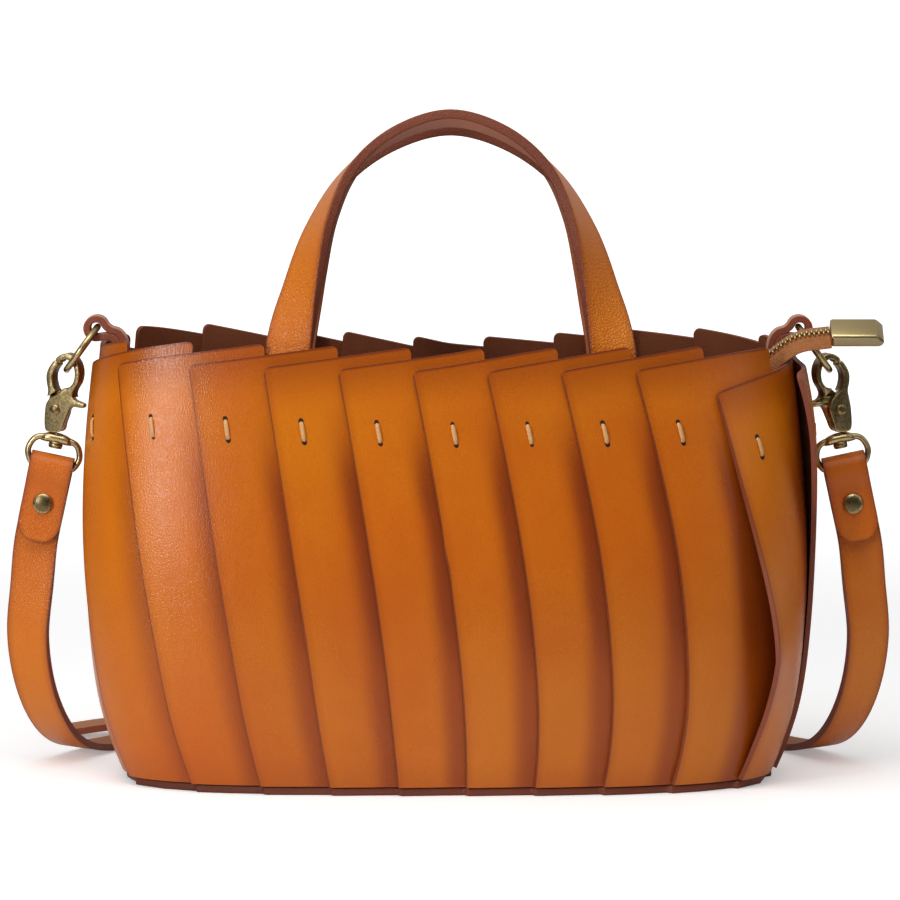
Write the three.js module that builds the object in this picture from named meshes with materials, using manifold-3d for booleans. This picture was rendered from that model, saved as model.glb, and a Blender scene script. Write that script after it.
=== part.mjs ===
// Leather handbag: a tote whose body is a ring of slanted leather panels, lapped like shingles,
// with two handles, a zip, and a shoulder strap on trigger hooks.
// Millimetres, +Z up, +X along the bag, front at -Y, origin on the middle of the base.
import * as THREE from 'three';
import { mergeVertices } from 'three/addons/utils/BufferGeometryUtils.js';
import Module from 'manifold-3d';

const wasm = await Module();
wasm.setup();

// Leather and fits
const TOUCH_GAP = 0.3;
const PANEL_LEATHER = 2;
const LAP_GAP = 0.5;
const LAP_STEP = PANEL_LEATHER + LAP_GAP;
const BASE_LEATHER = 3.2;

// Body: the inner face of the panels at a few heights
const BODY_SECTIONS = [
  { z: 0, halfLength: 123, halfDepth: 48 },
  { z: 12, halfLength: 128, halfDepth: 50.5 },
  { z: 30, halfLength: 133.5, halfDepth: 52.5 },
  { z: 60, halfLength: 137.5, halfDepth: 53.5 },
  { z: 95, halfLength: 139, halfDepth: 52.5 },
  { z: 130, halfLength: 137.5, halfDepth: 49 },
  { z: 180, halfLength: 133, halfDepth: 42.5 },
];
const PLAN_POWER = 3;
const RIM_PLAN = { halfLength: 138.5, halfDepth: 47 };

// Panels: each is two pitches wide, so that half of it is lapped
const PANEL_COUNT = 22;
const PANEL_PITCHES = 2;
const PANEL_COLUMNS = 6;
const PANEL_ROWS = 8;
const RIM_LOW = 168;
const RIM_RISE = 9;
const RIM_MIDDLE_DIP = 3.5;
const RIM_BACK_DIP = 1.5;
const RIM_BACK_RISE = 3.5;
const RIM_RIGHT_DIP = 3.6;
const RIM_LEFT_DIP = 3.6;
const RIM_END_FALL = 1;
const SLANT_PITCHES = 0.77;
const SLANT_POWER = 1.7;
const CORNER_PANELS = [
  { index: 4, drop: 9, flare: 12, flareAt: 0.33, flareSpread: 0.32 },
  { index: 5, drop: 0, flare: 10, flareAt: 1, flareSpread: 0.3 },
  { index: 15, drop: 9, flare: 9, flareAt: 0.33, flareSpread: 0.32 },
  { index: 16, drop: -6, flare: 0, flareAt: 1, flareSpread: 1 },
];
const BASE_INSET = 0.4;

// Handles
const HANDLE_WIDTH = 18;
const HANDLE_LEATHER = 4;
const HANDLE_LEAN = 0.23;
const HANDLE_FOOT = { y: -38.4, z: 172, slope: 0.06 };
const HANDLE_SHIFT = 1;
const HANDLE_BACK_RISE = 0.955;
const HANDLE_ROWS = [
  { x: 64, z: 152, turn: 0 },
  { x: 63.4, z: 172, turn: 5 },
  { x: 58.2, z: 197, turn: 38 },
  { x: 51, z: 222, turn: 60 },
  { x: 39.6, z: 242.6, turn: 77 },
  { x: 22, z: 256.8, turn: 86 },
];
const HANDLE_TOP = { x: 0, z: 263.2 };

// End fittings, at the left end; the right end is the same, turned half round
const TAB_LOOP = { x: -139.6, z: 179.4, radius: 4.8, bore: 2.4 };
const TAB_WIDTH = 9;
const TAB_FOOT = { x: -129.4, z: 150, halfThickness: 2.6 };
const RING_RADIUS = 10.6;
const RING_WIRE = 1.3;
const RING_SLACK = 0.55;
const RING_LEAN = 36;
const HOOK_WIRE_SEAT = { x: 3.7, z: 1.8 };
const HOOK_THICKNESS = 6.4;
const HOOK_YAW = 18;
const LEVER_SIDE_GAP = 0.4;
const HOOK_PIVOT = -13.8;
const PIVOT_PIN = 1.3;
const PIVOT_GAP = 0.3;
const BODY_BORE_GAP = 0.15;
const PIVOT_CAP = { radius: 2, height: 0.9 };
const EYE_TILT = 12;
const EYE = { z: -23.8, halfWidth: 11.6, height: 14.5, wire: 2.5 };

// Shoulder strap
const STRAP_WIDTH = 17.2;
const STRAP_LEATHER = 2.8;
const STRAP_FLAP = 31;
const FOLD_HALF_GAP = 1.75;
const STRAP_RIVET = { down: 15, cap: 4.2, capHeight: 1.8, shaft: 1.4, shaftGap: 0.2 };
const STRAP_FOLD = [
  { down: STRAP_FLAP, y: -FOLD_HALF_GAP },
  { down: 15, y: -FOLD_HALF_GAP },
  { down: 8, y: -2.2 },
  { down: 2.5, y: -3.3 },
  { down: -2.2, y: -2.6 },
  { down: -3.6, y: 0 },
  { down: -2.2, y: 2.6 },
  { down: 2.5, y: 3.3 },
  { down: 8, y: 2.2 },
  { down: 15, y: FOLD_HALF_GAP },
  { down: STRAP_FLAP, y: FOLD_HALF_GAP },
];
const STRAP_HANG = [
  { x: -166.4, y: 2.5, z: 77, acrossX: 0.96, acrossY: -0.2 },
  { x: -168.4, y: 5, z: 56, acrossX: 0.93, acrossY: -0.32 },
  { x: -166.6, y: 10, z: 37, acrossX: 0.9, acrossY: -0.4 },
  { x: -162, y: 21, z: 20, acrossX: 0.87, acrossY: -0.45 },
  { x: -155.5, y: 38, z: 8, acrossX: 0.82, acrossY: -0.55 },
  { x: -146, y: 58, z: 2.4, acrossX: 0.72, acrossY: -0.7 },
  { x: -130, y: 80, z: 1.7, acrossX: 0.6, acrossY: -0.8 },
  { x: -108, y: 97, z: 1.7, acrossX: 0.42, acrossY: -0.9 },
  { x: -80, y: 108, z: 1.9, acrossX: 0.22, acrossY: -0.97 },
];
const SHORT_END = [
  { x: -54, y: 113, z: 3.4, acrossX: 0.1, acrossY: -1 },
  { x: -24, y: 115, z: 3.7, acrossX: 0, acrossY: -1 },
];
const LONG_END = [
  { x: -40, y: 114, z: 1.8, acrossX: 0.1, acrossY: -1 },
  { x: -6, y: 116, z: 2.4, acrossX: 0, acrossY: -1 },
  { x: 20, y: 115.4, z: 7, acrossX: 0, acrossY: -1 },
  { x: 44, y: 114, z: 7.2, acrossX: 0, acrossY: -1 },
  { x: 78, y: 112, z: 5.8, acrossX: -0.1, acrossY: -1 },
  { x: 110, y: 106, z: 5.4, acrossX: -0.2, acrossY: -0.97 },
  { x: 140, y: 100, z: 5, acrossX: -0.2, acrossY: -0.97 },
  { x: 166, y: 95, z: 2, acrossX: -0.2, acrossY: -0.97 },
];
const BUCKLE = { x: -34, y: 114.3, z: 5.2, length: 12, width: 24, height: 10 };
const BUCKLE_OPENING = { width: 19.5, height: 7.4 };

// Zip
const TAPE_THICKNESS = 1;
const TAPE_WIDTH = 10;
const TAIL_WIDTH = 11.4;
const CAP = { length: 21, width: 11.4, height: 5.8, edge: 0.8, chamfer: 2.8, lowChamfer: 1.4 };
const TEETH = { width: 4.4, height: 1.8 };
const SLIDER = { x: 92, y: -2.5, z: 146, length: 11, width: 10, height: 12 };
const TAIL_ROWS = [
  { x: 101, y: -6.5, z: 148.5, acrossY: -0.3, acrossZ: -0.95 },
  { x: 112, y: -10, z: 157, acrossY: -0.6, acrossZ: -0.8 },
  { x: 125, y: -14.5, z: 167.6, acrossY: -0.75, acrossZ: -0.66 },
  { x: 137, y: -17.5, z: 176.4, acrossY: -0.8, acrossZ: -0.6 },
  { x: 150, y: -18.5, z: 178.8, acrossY: -0.8, acrossZ: -0.6 },
];
const SIDE_START = [
  { x: 86, y: -4, z: 146 },
  { x: 72, y: -12, z: 145 },
  { x: 56, y: -29, z: 143.5 },
  { x: 34, y: -42, z: 143 },
];
const SIDE_WAYS = [0.2, -1, -2, -3, -4, -4.8];
const SIDE_HEIGHT = 143;
const SIDE_INSET = 1.9;

// Finishes
const finish = (color, roughness, metalness = 0) =>
  new THREE.MeshStandardMaterial({ color, roughness, metalness });
const tanLeather = finish(0xc8701f, 0.45);
const strapLeather = finish(0xbf6a22, 0.5);
const baseLeather = finish(0x7a3a24, 0.6);
const brass = finish(0x86703f, 0.4, 1);
const tapeCloth = finish(0xb86f38, 0.9);

const bag = new THREE.Group();

function addPiece(name, geometry, material, parent = bag) {
  const mesh = new THREE.Mesh(geometry, material);
  mesh.name = name;
  parent.add(mesh);
  return mesh;
}

// Booleans on closed meshes
function toSolid(geometry) {
  const bare = geometry.clone();
  bare.deleteAttribute('normal');
  bare.deleteAttribute('uv');
  const merged = mergeVertices(bare, 1e-4);
  return new wasm.Manifold(new wasm.Mesh({
    numProp: 3,
    vertProperties: Float32Array.from(merged.attributes.position.array),
    triVerts: Uint32Array.from(merged.index.array),
  }));
}

function toGeometry(solid) {
  const mesh = solid.getMesh();
  const geometry = new THREE.BufferGeometry();
  geometry.setAttribute('position', new THREE.BufferAttribute(mesh.vertProperties, 3));
  geometry.setIndex(new THREE.BufferAttribute(mesh.triVerts, 1));
  return geometry;
}

const cut = (geometry, ...tools) =>
  toGeometry(tools.reduce((solid, tool) => solid.subtract(toSolid(tool)), toSolid(geometry)));

// A closed sheet between two grids of points, face and back, given row by row
function sheet(face, back) {
  const rows = face.length;
  const columns = face[0].length;
  const last = columns - 1;
  const points = [...face.flat(), ...back.flat()];
  const at = (side, row, column) => side * rows * columns + row * columns + column;
  const triangles = [];
  const quad = (a, b, c, d) => triangles.push(a, b, c, a, c, d);
  for (let r = 0; r + 1 < rows; r += 1) {
    for (let c = 0; c + 1 < columns; c += 1) {
      quad(at(0, r, c), at(0, r, c + 1), at(0, r + 1, c + 1), at(0, r + 1, c));
      quad(at(1, r, c), at(1, r + 1, c), at(1, r + 1, c + 1), at(1, r, c + 1));
    }
    quad(at(0, r, 0), at(0, r + 1, 0), at(1, r + 1, 0), at(1, r, 0));
    quad(at(0, r, last), at(1, r, last), at(1, r + 1, last), at(0, r + 1, last));
  }
  for (let c = 0; c + 1 < columns; c += 1) {
    quad(at(0, 0, c), at(1, 0, c), at(1, 0, c + 1), at(0, 0, c + 1));
    quad(at(0, rows - 1, c), at(0, rows - 1, c + 1), at(1, rows - 1, c + 1), at(1, rows - 1, c));
  }
  const geometry = new THREE.BufferGeometry();
  const places = points.flatMap((point) => point.toArray());
  geometry.setAttribute('position', new THREE.Float32BufferAttribute(places, 3));
  geometry.setIndex(signedVolume(points, triangles) > 0 ? triangles : triangles.reverse());
  return geometry;
}

function signedVolume(points, triangles) {
  let volume = 0;
  for (let i = 0; i < triangles.length; i += 3) {
    const [a, b, c] = [0, 1, 2].map((k) => points[triangles[i + k]]);
    volume += a.dot(b.clone().cross(c)) / 6;
  }
  return volume;
}

// A flat strip along rows of { at, across }: the middle of the strip and the way its width lies.
// A round end narrows the last steps to a half circle, and lift shifts the strip off its middle.
function strip(rows, width, thickness, stepsPerRow, options = {}) {
  const { roundStart = false, roundEnd = false, lift = 0 } = options;
  const middle = new THREE.CatmullRomCurve3(rows.map((row) => row.at), false, 'centripetal');
  const across = new THREE.CatmullRomCurve3(rows.map((row) => row.across), false, 'centripetal');
  const length = middle.getLength();
  const radius = width / 2;
  const tip = radius / length;
  const steps = (rows.length - 1) * stepsPerRow;
  const evenStations = Array.from({ length: steps + 1 }, (_, i) => ({ t: i / steps, inTip: 0 }));
  const tipParts = [0, 0.12, 0.35, 0.65];
  const tipStations = (place) => tipParts.map((part) => (
    { t: middle.getUtoTmapping(place(part * tip)), inTip: 1 - part }));
  const from = roundStart ? middle.getUtoTmapping(tip) : -1;
  const to = roundEnd ? middle.getUtoTmapping(1 - tip) : 2;
  const stations = [
    ...(roundStart ? tipStations((u) => u) : []),
    ...evenStations.filter(({ t }) => t > from && t < to),
    ...(roundEnd ? tipStations((u) => 1 - u).reverse() : []),
  ];
  const face = [];
  const back = [];
  for (const { t, inTip } of stations) {
    const at = middle.getPoint(t);
    const along = middle.getTangent(t);
    const side = across.getPoint(t);
    side.addScaledVector(along, -side.dot(along)).normalize();
    const up = along.clone().cross(side);
    at.addScaledVector(up, lift);
    up.multiplyScalar(thickness / 2);
    const reach = Math.max(0.25, Math.sqrt(1 - inTip * inTip)) * radius;
    const edges = [-reach, reach].map((shift) => at.clone().addScaledVector(side, shift));
    face.push(edges.map((edge) => edge.clone().add(up)));
    back.push(edges.map((edge) => edge.clone().sub(up)));
  }
  return sheet(face, back);
}

const row = (x, y, z, acrossX, acrossY, acrossZ) => ({
  at: new THREE.Vector3(x, y, z),
  across: new THREE.Vector3(acrossX, acrossY, acrossZ),
});

// A profile in the XZ plane, given thickness along Y about y = 0
function plate(shape, thickness, bevel = 0, curveSegments = 8) {
  const geometry = new THREE.ExtrudeGeometry(shape, {
    depth: thickness - 2 * bevel,
    bevelEnabled: bevel > 0,
    bevelThickness: bevel,
    bevelSize: bevel,
    bevelOffset: -bevel,
    bevelSegments: 1,
    curveSegments,
  });
  geometry.translate(0, 0, bevel - thickness / 2);
  geometry.rotateX(Math.PI / 2);
  return geometry;
}

function pinAlongY(radius, length, x, z, sides = 14) {
  return new THREE.CylinderGeometry(radius, radius, length, sides).translate(x, 0, z);
}

// The body's plan at a height, followed by the way round from the front's middle, in panel pitches
const girth = new THREE.CubicInterpolant(
  BODY_SECTIONS.map((section) => section.z),
  BODY_SECTIONS.flatMap((section) => [section.halfLength, section.halfDepth]),
  2,
);

function girthAt(z) {
  const [halfLength, halfDepth] = girth.evaluate(z);
  return { halfLength, halfDepth };
}

function planPoint(angle, { halfLength, halfDepth }) {
  const round = (value) => Math.sign(value) * Math.abs(value) ** (2 / PLAN_POWER);
  return new THREE.Vector2(halfLength * round(Math.cos(angle)), halfDepth * round(Math.sin(angle)));
}

function makeWayTable(samples = 7200) {
  const table = [{ angle: -Math.PI / 2, length: 0 }];
  for (let i = 1; i <= samples; i += 1) {
    const angle = -Math.PI / 2 + (i / samples) * 2 * Math.PI;
    const last = table[i - 1];
    const length = last.length + planPoint(angle, RIM_PLAN).distanceTo(planPoint(last.angle, RIM_PLAN));
    table.push({ angle, length });
  }
  return table;
}

const wayTable = makeWayTable();

function angleAt(way) {
  const turns = way / PANEL_COUNT;
  const length = (turns - Math.floor(turns)) * wayTable.at(-1).length;
  let low = 0;
  let high = wayTable.length - 1;
  while (high - low > 1) {
    const middle = (low + high) >> 1;
    if (wayTable[middle].length <= length) low = middle;
    else high = middle;
  }
  const part = (length - wayTable[low].length) / (wayTable[high].length - wayTable[low].length);
  return THREE.MathUtils.lerp(wayTable[low].angle, wayTable[high].angle, part);
}

function wallPoint(way, z, outward) {
  const size = girthAt(z);
  const point = planPoint(angleAt(way), size);
  const steep = PLAN_POWER - 1;
  const normal = new THREE.Vector2(
    (Math.sign(point.x) * Math.abs(point.x / size.halfLength) ** steep) / size.halfLength,
    (Math.sign(point.y) * Math.abs(point.y / size.halfDepth) ** steep) / size.halfDepth,
  ).normalize();
  point.addScaledVector(normal, outward);
  return new THREE.Vector3(point.x, point.y, z);
}

const slantAt = (z) => SLANT_PITCHES * (1 - Math.min(1, z / RIM_LOW) ** SLANT_POWER);

// How far the rim lies under its highest line: it dips in the middle, rises towards both ends
// at the back, and falls to the right
function rimDip(way) {
  const { x, y } = planPoint(angleAt(way), { halfLength: 1, halfDepth: 1 });
  const endPart = Math.abs(x);
  const middle = (RIM_MIDDLE_DIP + RIM_BACK_DIP * y) * (1 - endPart);
  const back = RIM_BACK_RISE * Math.max(0, y) * endPart;
  const end = x > 0 ? RIM_RIGHT_DIP * endPart ** 8 : RIM_LEFT_DIP * endPart ** 16;
  return middle - back + end + RIM_END_FALL * x;
}

// A corner panel stays stiff instead of bending, so its free edge stands off, most of all at one height
function flareAt({ flare, flareAt: peak, flareSpread }, rise) {
  const foot = Math.min(1, rise / flareSpread);
  return flare * foot * Math.exp(-(((rise - peak) / flareSpread) ** 2));
}

// A panel's left edge lies over the panel before it, and its right edge lies against the bag's inside
function panelSheet(index) {
  const bottom = BASE_LEATHER + TOUCH_GAP;
  const corner = CORNER_PANELS.find((panel) => panel.index === index);
  const face = [];
  const back = [];
  for (let r = 0; r <= PANEL_ROWS; r += 1) {
    const rise = (r / PANEL_ROWS) ** 1.25;
    const faceRow = [];
    const backRow = [];
    for (let c = 0; c <= PANEL_COLUMNS; c += 1) {
      const part = c / PANEL_COLUMNS;
      const wayAtRim = index - 0.5 + PANEL_PITCHES * part;
      const drop = corner ? corner.drop * (1 - part) : 0;
      const top = RIM_LOW + RIM_RISE * part - rimDip(wayAtRim) - drop;
      const z = bottom + rise * (top - bottom);
      const free = Math.max(0, 1 - PANEL_PITCHES * part) ** 2;
      const flare = corner ? free * flareAt(corner, rise) : 0;
      const lap = PANEL_PITCHES * LAP_STEP * (1 - part) + flare;
      faceRow.push(wallPoint(wayAtRim + slantAt(z), z, lap + PANEL_LEATHER));
      backRow.push(wallPoint(wayAtRim + slantAt(z), z, lap));
    }
    face.push(faceRow);
    back.push(backRow);
  }
  return sheet(face, back);
}

for (let index = 0; index < PANEL_COUNT; index += 1) {
  addPiece(`panel_${String(index + 1).padStart(2, '0')}`, panelSheet(index), tanLeather);
}

// Base: a flat plate under the panels, whose edge steps in and out with the laps
function basePlate() {
  const shape = new THREE.Shape();
  const partsOfLap = [0.03, 0.5, 0.97];
  const outline = [];
  for (let index = 0; index < PANEL_COUNT; index += 1) {
    for (const part of partsOfLap) {
      const lap = LAP_STEP * (PANEL_PITCHES - part) + PANEL_LEATHER - BASE_INSET;
      const point = wallPoint(index - 0.5 + part + slantAt(0), 0, lap);
      outline.push(new THREE.Vector2(point.x, point.y));
    }
  }
  shape.setFromPoints(outline);
  return new THREE.ExtrudeGeometry(shape, { depth: BASE_LEATHER, bevelEnabled: false });
}

addPiece('base', basePlate(), baseLeather);

// Handles: flat against the wall at the foot, edge-on at the top
function handleStrip(shift, rise) {
  const place = (x, z, angle) => {
    const above = rise * Math.max(0, z - HANDLE_FOOT.z);
    const below = Math.max(0, HANDLE_FOOT.z - z);
    const y = HANDLE_FOOT.y + HANDLE_LEAN * above - HANDLE_FOOT.slope * below;
    const height = HANDLE_FOOT.z + above - below;
    return row(x + shift, y, height, Math.cos(angle), -Math.sin(angle), HANDLE_LEAN * Math.sin(angle));
  };
  const leg = (side) => HANDLE_ROWS.map(({ x, z, turn }) =>
    place(side * x, z, THREE.MathUtils.degToRad(side < 0 ? turn : 180 - turn)));
  const top = place(HANDLE_TOP.x, HANDLE_TOP.z, Math.PI / 2);
  return strip([...leg(-1), top, ...leg(1).reverse()], HANDLE_WIDTH, HANDLE_LEATHER, 3);
}

addPiece('handle_front', handleStrip(HANDLE_SHIFT, 1), strapLeather);
addPiece('handle_back', handleStrip(-HANDLE_SHIFT, HANDLE_BACK_RISE), strapLeather).rotation.z = Math.PI;

// Tab: a leather strip folded into a loop, its two ends flat together inside the rim
function tabPlate() {
  const { x, z, radius, bore } = TAB_LOOP;
  const foot = TAB_FOOT;
  const shape = new THREE.Shape();
  shape.moveTo(foot.x - foot.halfThickness, foot.z);
  shape.lineTo(foot.x + foot.halfThickness, foot.z);
  shape.lineTo(foot.x + foot.halfThickness, z - radius);
  shape.lineTo(x + radius, z);
  shape.absarc(x, z, radius, 0, THREE.MathUtils.degToRad(245), false);
  shape.lineTo(foot.x - foot.halfThickness, z - radius);
  const hole = new THREE.Path();
  hole.absarc(x, z, bore, 0, 2 * Math.PI, true);
  shape.holes.push(hole);
  return plate(shape, TAB_WIDTH, 0, 12);
}

const ringWay = new THREE.Vector2(
  -Math.sin(THREE.MathUtils.degToRad(RING_LEAN)),
  -Math.cos(THREE.MathUtils.degToRad(RING_LEAN)),
);
const ringCentre = new THREE.Vector2(TAB_LOOP.x, TAB_LOOP.z)
  .addScaledVector(ringWay, RING_RADIUS - RING_SLACK);
const ringFoot = ringCentre.clone().addScaledVector(ringWay, RING_RADIUS);
const hookPlace = new THREE.Vector3(ringFoot.x - HOOK_WIRE_SEAT.x, 0, ringFoot.y - HOOK_WIRE_SEAT.z);

function ringTorus() {
  const geometry = new THREE.TorusGeometry(RING_RADIUS, RING_WIRE, 8, 18);
  geometry.rotateY(Math.PI / 2);
  geometry.rotateY(THREE.MathUtils.degToRad(RING_LEAN));
  return geometry.translate(ringCentre.x, 0, ringCentre.y);
}

const profile = (...points) => new THREE.Shape(points.map(([x, z]) => new THREE.Vector2(x, z)));

// The hook is two castings side by side on one rivet, each with a cheek of half the hook's thickness.
// Their outlines run in x from the hook's upright axis and in z from the ring's seat.
function halfTaken(outline, side) {
  const taken = plate(profile(...outline), HOOK_THICKNESS);
  return taken.translate(0, side * (HOOK_THICKNESS - LEVER_SIDE_GAP) / 2, 0);
}

// Hook body: the outer arm, thick all through, and the cheek behind the lever's
function hookBody() {
  const body = plate(profile(
    [1.5, 4.3], [0.1, 5.7], [-2, 3.6], [-3.5, 0.4], [-3.6, -2.6], [-3, -6.4], [-3.6, -9.4],
    [-4.4, -13.6], [-4.6, -21.4], [-3.6, -22.6], [2, -22.6], [3.2, -19.4], [4.9, -14.4],
    [4.6, -11.4], [2.8, -8.4], [0.4, -6], [-0.6, -3.2], [-0.8, -0.4], [0, 2],
  ), HOOK_THICKNESS, 0.5);
  const leverSide = halfTaken(
    [[-7, -25], [8, -25], [8, -3.6], [3.4, -4.4], [1.4, -5.4], [-0.4, -7], [-2.8, -8.4], [-7, -10]], -1);
  const bore = pinAlongY(PIVOT_PIN + BODY_BORE_GAP, 2 * HOOK_THICKNESS, 0, HOOK_PIVOT);
  return cut(body, leverSide, bore);
}

// Hook lever: the inner arm, which meets the outer arm at the top, with its cheek and a thumb tab
function hookLever() {
  const lever = plate(profile(
    [1.9, 4.8], [0.5, 6.2], [2.2, 7.8], [5, 8.6], [7.8, 7.4], [9.9, 4.4], [10.6, 0.8], [9.9, -3],
    [8, -6.2], [7.6, -8.2], [8.6, -9.8], [11, -10.8], [12.4, -11.5], [12.4, -12.5], [11.6, -13.1],
    [9.2, -12.8], [6.9, -13], [4.4, -17.6], [1.8, -22.6], [-3.6, -22.6], [-4.4, -21.4],
    [-4.2, -13.4], [-3.6, -11.2], [-2.4, -9.7], [0.1, -8.2], [3.8, -5.4], [5.6, -5.2], [7.6, -3.4],
    [8.5, -0.6], [8.3, 2.6], [6.9, 5.2], [4.9, 6.2], [3.2, 5.9],
  ), HOOK_THICKNESS);
  const bodySide = halfTaken(
    [[-7, -25], [15, -25], [15, -9.4], [7.4, -9], [5.6, -7.2], [3.6, -5], [-7, -4]], 1);
  return cut(lever, bodySide, pinAlongY(PIVOT_PIN + PIVOT_GAP, 2 * HOOK_THICKNESS, 0, HOOK_PIVOT));
}

function rivetLathe(shaft, shaftLength, cap, capHeight) {
  const half = shaftLength / 2;
  const outline = [
    [0, -half - capHeight], [cap * 0.55, -half - capHeight * 0.85], [cap, -half - 0.4], [cap, -half],
    [shaft, -half], [shaft, half], [cap, half], [cap, half + 0.4], [cap * 0.55, half + capHeight * 0.85],
    [0, half + capHeight],
  ];
  return new THREE.LatheGeometry(outline.map(([r, h]) => new THREE.Vector2(r, h)), 12);
}

// Swivel eye: a D of wire under a boss, with the post that turns in the hook body's foot
function swivelEye() {
  const { halfWidth, height, wire } = EYE;
  const outer = new THREE.Shape();
  outer.moveTo(-5, 0);
  outer.lineTo(5, 0);
  outer.bezierCurveTo(halfWidth, -1, halfWidth + 1, -height + 3, halfWidth - 2, -height);
  outer.lineTo(-halfWidth + 2, -height);
  outer.bezierCurveTo(-halfWidth - 1, -height + 3, -halfWidth, -1, -5, 0);
  const inner = new THREE.Path();
  const side = halfWidth - wire;
  inner.moveTo(-3.5, -3.8);
  inner.bezierCurveTo(-side, -3.8, -side - 0.3, -7, -side, -height + wire);
  inner.lineTo(side, -height + wire);
  inner.bezierCurveTo(side + 0.3, -7, side, -3.8, 3.5, -3.8);
  outer.holes.push(inner);
  return plate(outer, wire, 0.7, 6);
}

// Strap: one end is folded round the eye's bar and riveted; the rest hangs, then lies behind the bag
const barDown = EYE.height - EYE.wire / 2;
const eyeTilt = THREE.MathUtils.degToRad(EYE_TILT);
const hangWay = new THREE.Vector3(-Math.sin(eyeTilt), 0, -Math.cos(eyeTilt));
const hangAcross = new THREE.Vector3(Math.cos(eyeTilt), 0, -Math.sin(eyeTilt));
const eyePlace = hookPlace.clone().add(new THREE.Vector3(0, 0, EYE.z));
const barPlace = eyePlace.clone().addScaledVector(hangWay, barDown);

function strapPiece(side, endRows) {
  const fold = STRAP_FOLD.map(({ down, y }) => {
    const at = barPlace.clone().addScaledVector(hangWay, down);
    return row(side * -at.x, y, at.z, side * -hangAcross.x, 0, hangAcross.z);
  });
  const lie = [...STRAP_HANG, ...endRows].map(({ x, y, z, acrossX, acrossY }) =>
    row(side * -x, y, z, side * -acrossX, acrossY, 0));
  const roundEnds = { roundStart: true, roundEnd: true };
  const piece = strip([...fold, ...lie], STRAP_WIDTH, STRAP_LEATHER, 3, roundEnds);
  const rivetAt = barPlace.clone().addScaledVector(hangWay, STRAP_RIVET.down);
  const shaftHole = STRAP_RIVET.shaft + STRAP_RIVET.shaftGap;
  const hole = pinAlongY(shaftHole, STRAP_WIDTH, side * -rivetAt.x, rivetAt.z, 10);
  return cut(piece, hole);
}

addPiece('strap_left', strapPiece(-1, SHORT_END), strapLeather);
addPiece('strap_right', strapPiece(1, LONG_END), strapLeather);

function buckleFrame() {
  const { x, y, z, length, width, height } = BUCKLE;
  const opening = new THREE.BoxGeometry(2 * length, BUCKLE_OPENING.width, BUCKLE_OPENING.height);
  return cut(new THREE.BoxGeometry(length, width, height), opening).translate(x, y, z);
}

addPiece('strap_buckle', buckleFrame(), brass);

// Both ends carry the same fittings, the right one turned half round,
// and each hook is turned a little on its post, with its thumb tab towards the front
const hookYaw = THREE.MathUtils.degToRad(HOOK_YAW);
for (const [side, turn, yaw] of [['left', 0, -hookYaw], ['right', Math.PI, hookYaw]]) {
  const end = new THREE.Group();
  end.rotation.z = turn;
  bag.add(end);
  addPiece(`${side}_tab`, tabPlate(), strapLeather, end);
  addPiece(`${side}_ring`, ringTorus(), brass, end);
  const hook = new THREE.Group();
  hook.position.copy(hookPlace);
  hook.rotation.z = yaw;
  end.add(hook);
  addPiece(`${side}_hook_body`, hookBody(), brass, hook);
  addPiece(`${side}_hook_lever`, hookLever(), brass, hook);
  const pivotGrip = HOOK_THICKNESS + 2 * TOUCH_GAP;
  const pivotRivet = rivetLathe(PIVOT_PIN, pivotGrip, PIVOT_CAP.radius, PIVOT_CAP.height);
  const pivot = addPiece(`${side}_hook_rivet`, pivotRivet, brass, hook);
  pivot.position.z = HOOK_PIVOT;
  const eye = addPiece(`${side}_swivel_eye`, swivelEye(), brass, end);
  eye.position.copy(eyePlace);
  eye.rotation.y = eyeTilt;
  const rivetAt = barPlace.clone().addScaledVector(hangWay, STRAP_RIVET.down);
  const grip = 2 * (FOLD_HALF_GAP + STRAP_LEATHER / 2 + TOUCH_GAP);
  const capRivet = addPiece(`${side}_strap_rivet`,
    rivetLathe(STRAP_RIVET.shaft, grip, STRAP_RIVET.cap, STRAP_RIVET.capHeight), brass, end);
  capRivet.position.copy(rivetAt);
}

// Zip: open, its two sides against the walls inside, joined at the slider into the tail
function zipSide(side) {
  const along = SIDE_WAYS.map((way) => wallPoint(way, SIDE_HEIGHT, -SIDE_INSET));
  const rows = [...SIDE_START, ...along].map(({ x, y, z }) => row(x, side * y, z, 0, 0, 1));
  return strip(rows, TAPE_WIDTH, TAPE_THICKNESS, 3);
}

addPiece('zip_tape_front', zipSide(1), tapeCloth);
addPiece('zip_tape_back', zipSide(-1), tapeCloth);
const sliderBlock = new THREE.BoxGeometry(SLIDER.length, SLIDER.width, SLIDER.height);
addPiece('zip_slider', sliderBlock.translate(SLIDER.x, SLIDER.y, SLIDER.z), brass);

const tailRows = TAIL_ROWS.map(({ x, y, z, acrossY, acrossZ }) => row(x, y, z, 0, acrossY, acrossZ));
addPiece('zip_tail', strip(tailRows, TAIL_WIDTH, TAPE_THICKNESS, 4), tapeCloth);

// The teeth lie along the tail's middle, on its upper face
const teethLift = -(TAPE_THICKNESS / 2 + TOUCH_GAP + TEETH.height / 2);
addPiece('zip_teeth', strip(tailRows.slice(1), TEETH.width, TEETH.height, 4, { lift: teethLift }), brass);

function endCap() {
  const { length, width, height, edge, chamfer, lowChamfer } = CAP;
  const half = height / 2;
  const side = profile(
    [0, -half], [length - lowChamfer, -half], [length, -half + lowChamfer],
    [length, half - chamfer], [length - chamfer, half], [0, half],
  );
  return plate(side, width, edge);
}

const lastTail = TAIL_ROWS.at(-1);
const cap = addPiece('zip_end_cap', endCap(), brass);
cap.position.set(lastTail.x + 2 * TOUCH_GAP, lastTail.y, lastTail.z);
cap.rotation.x = Math.atan2(-lastTail.acrossZ, -lastTail.acrossY);

export default bag;
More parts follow.
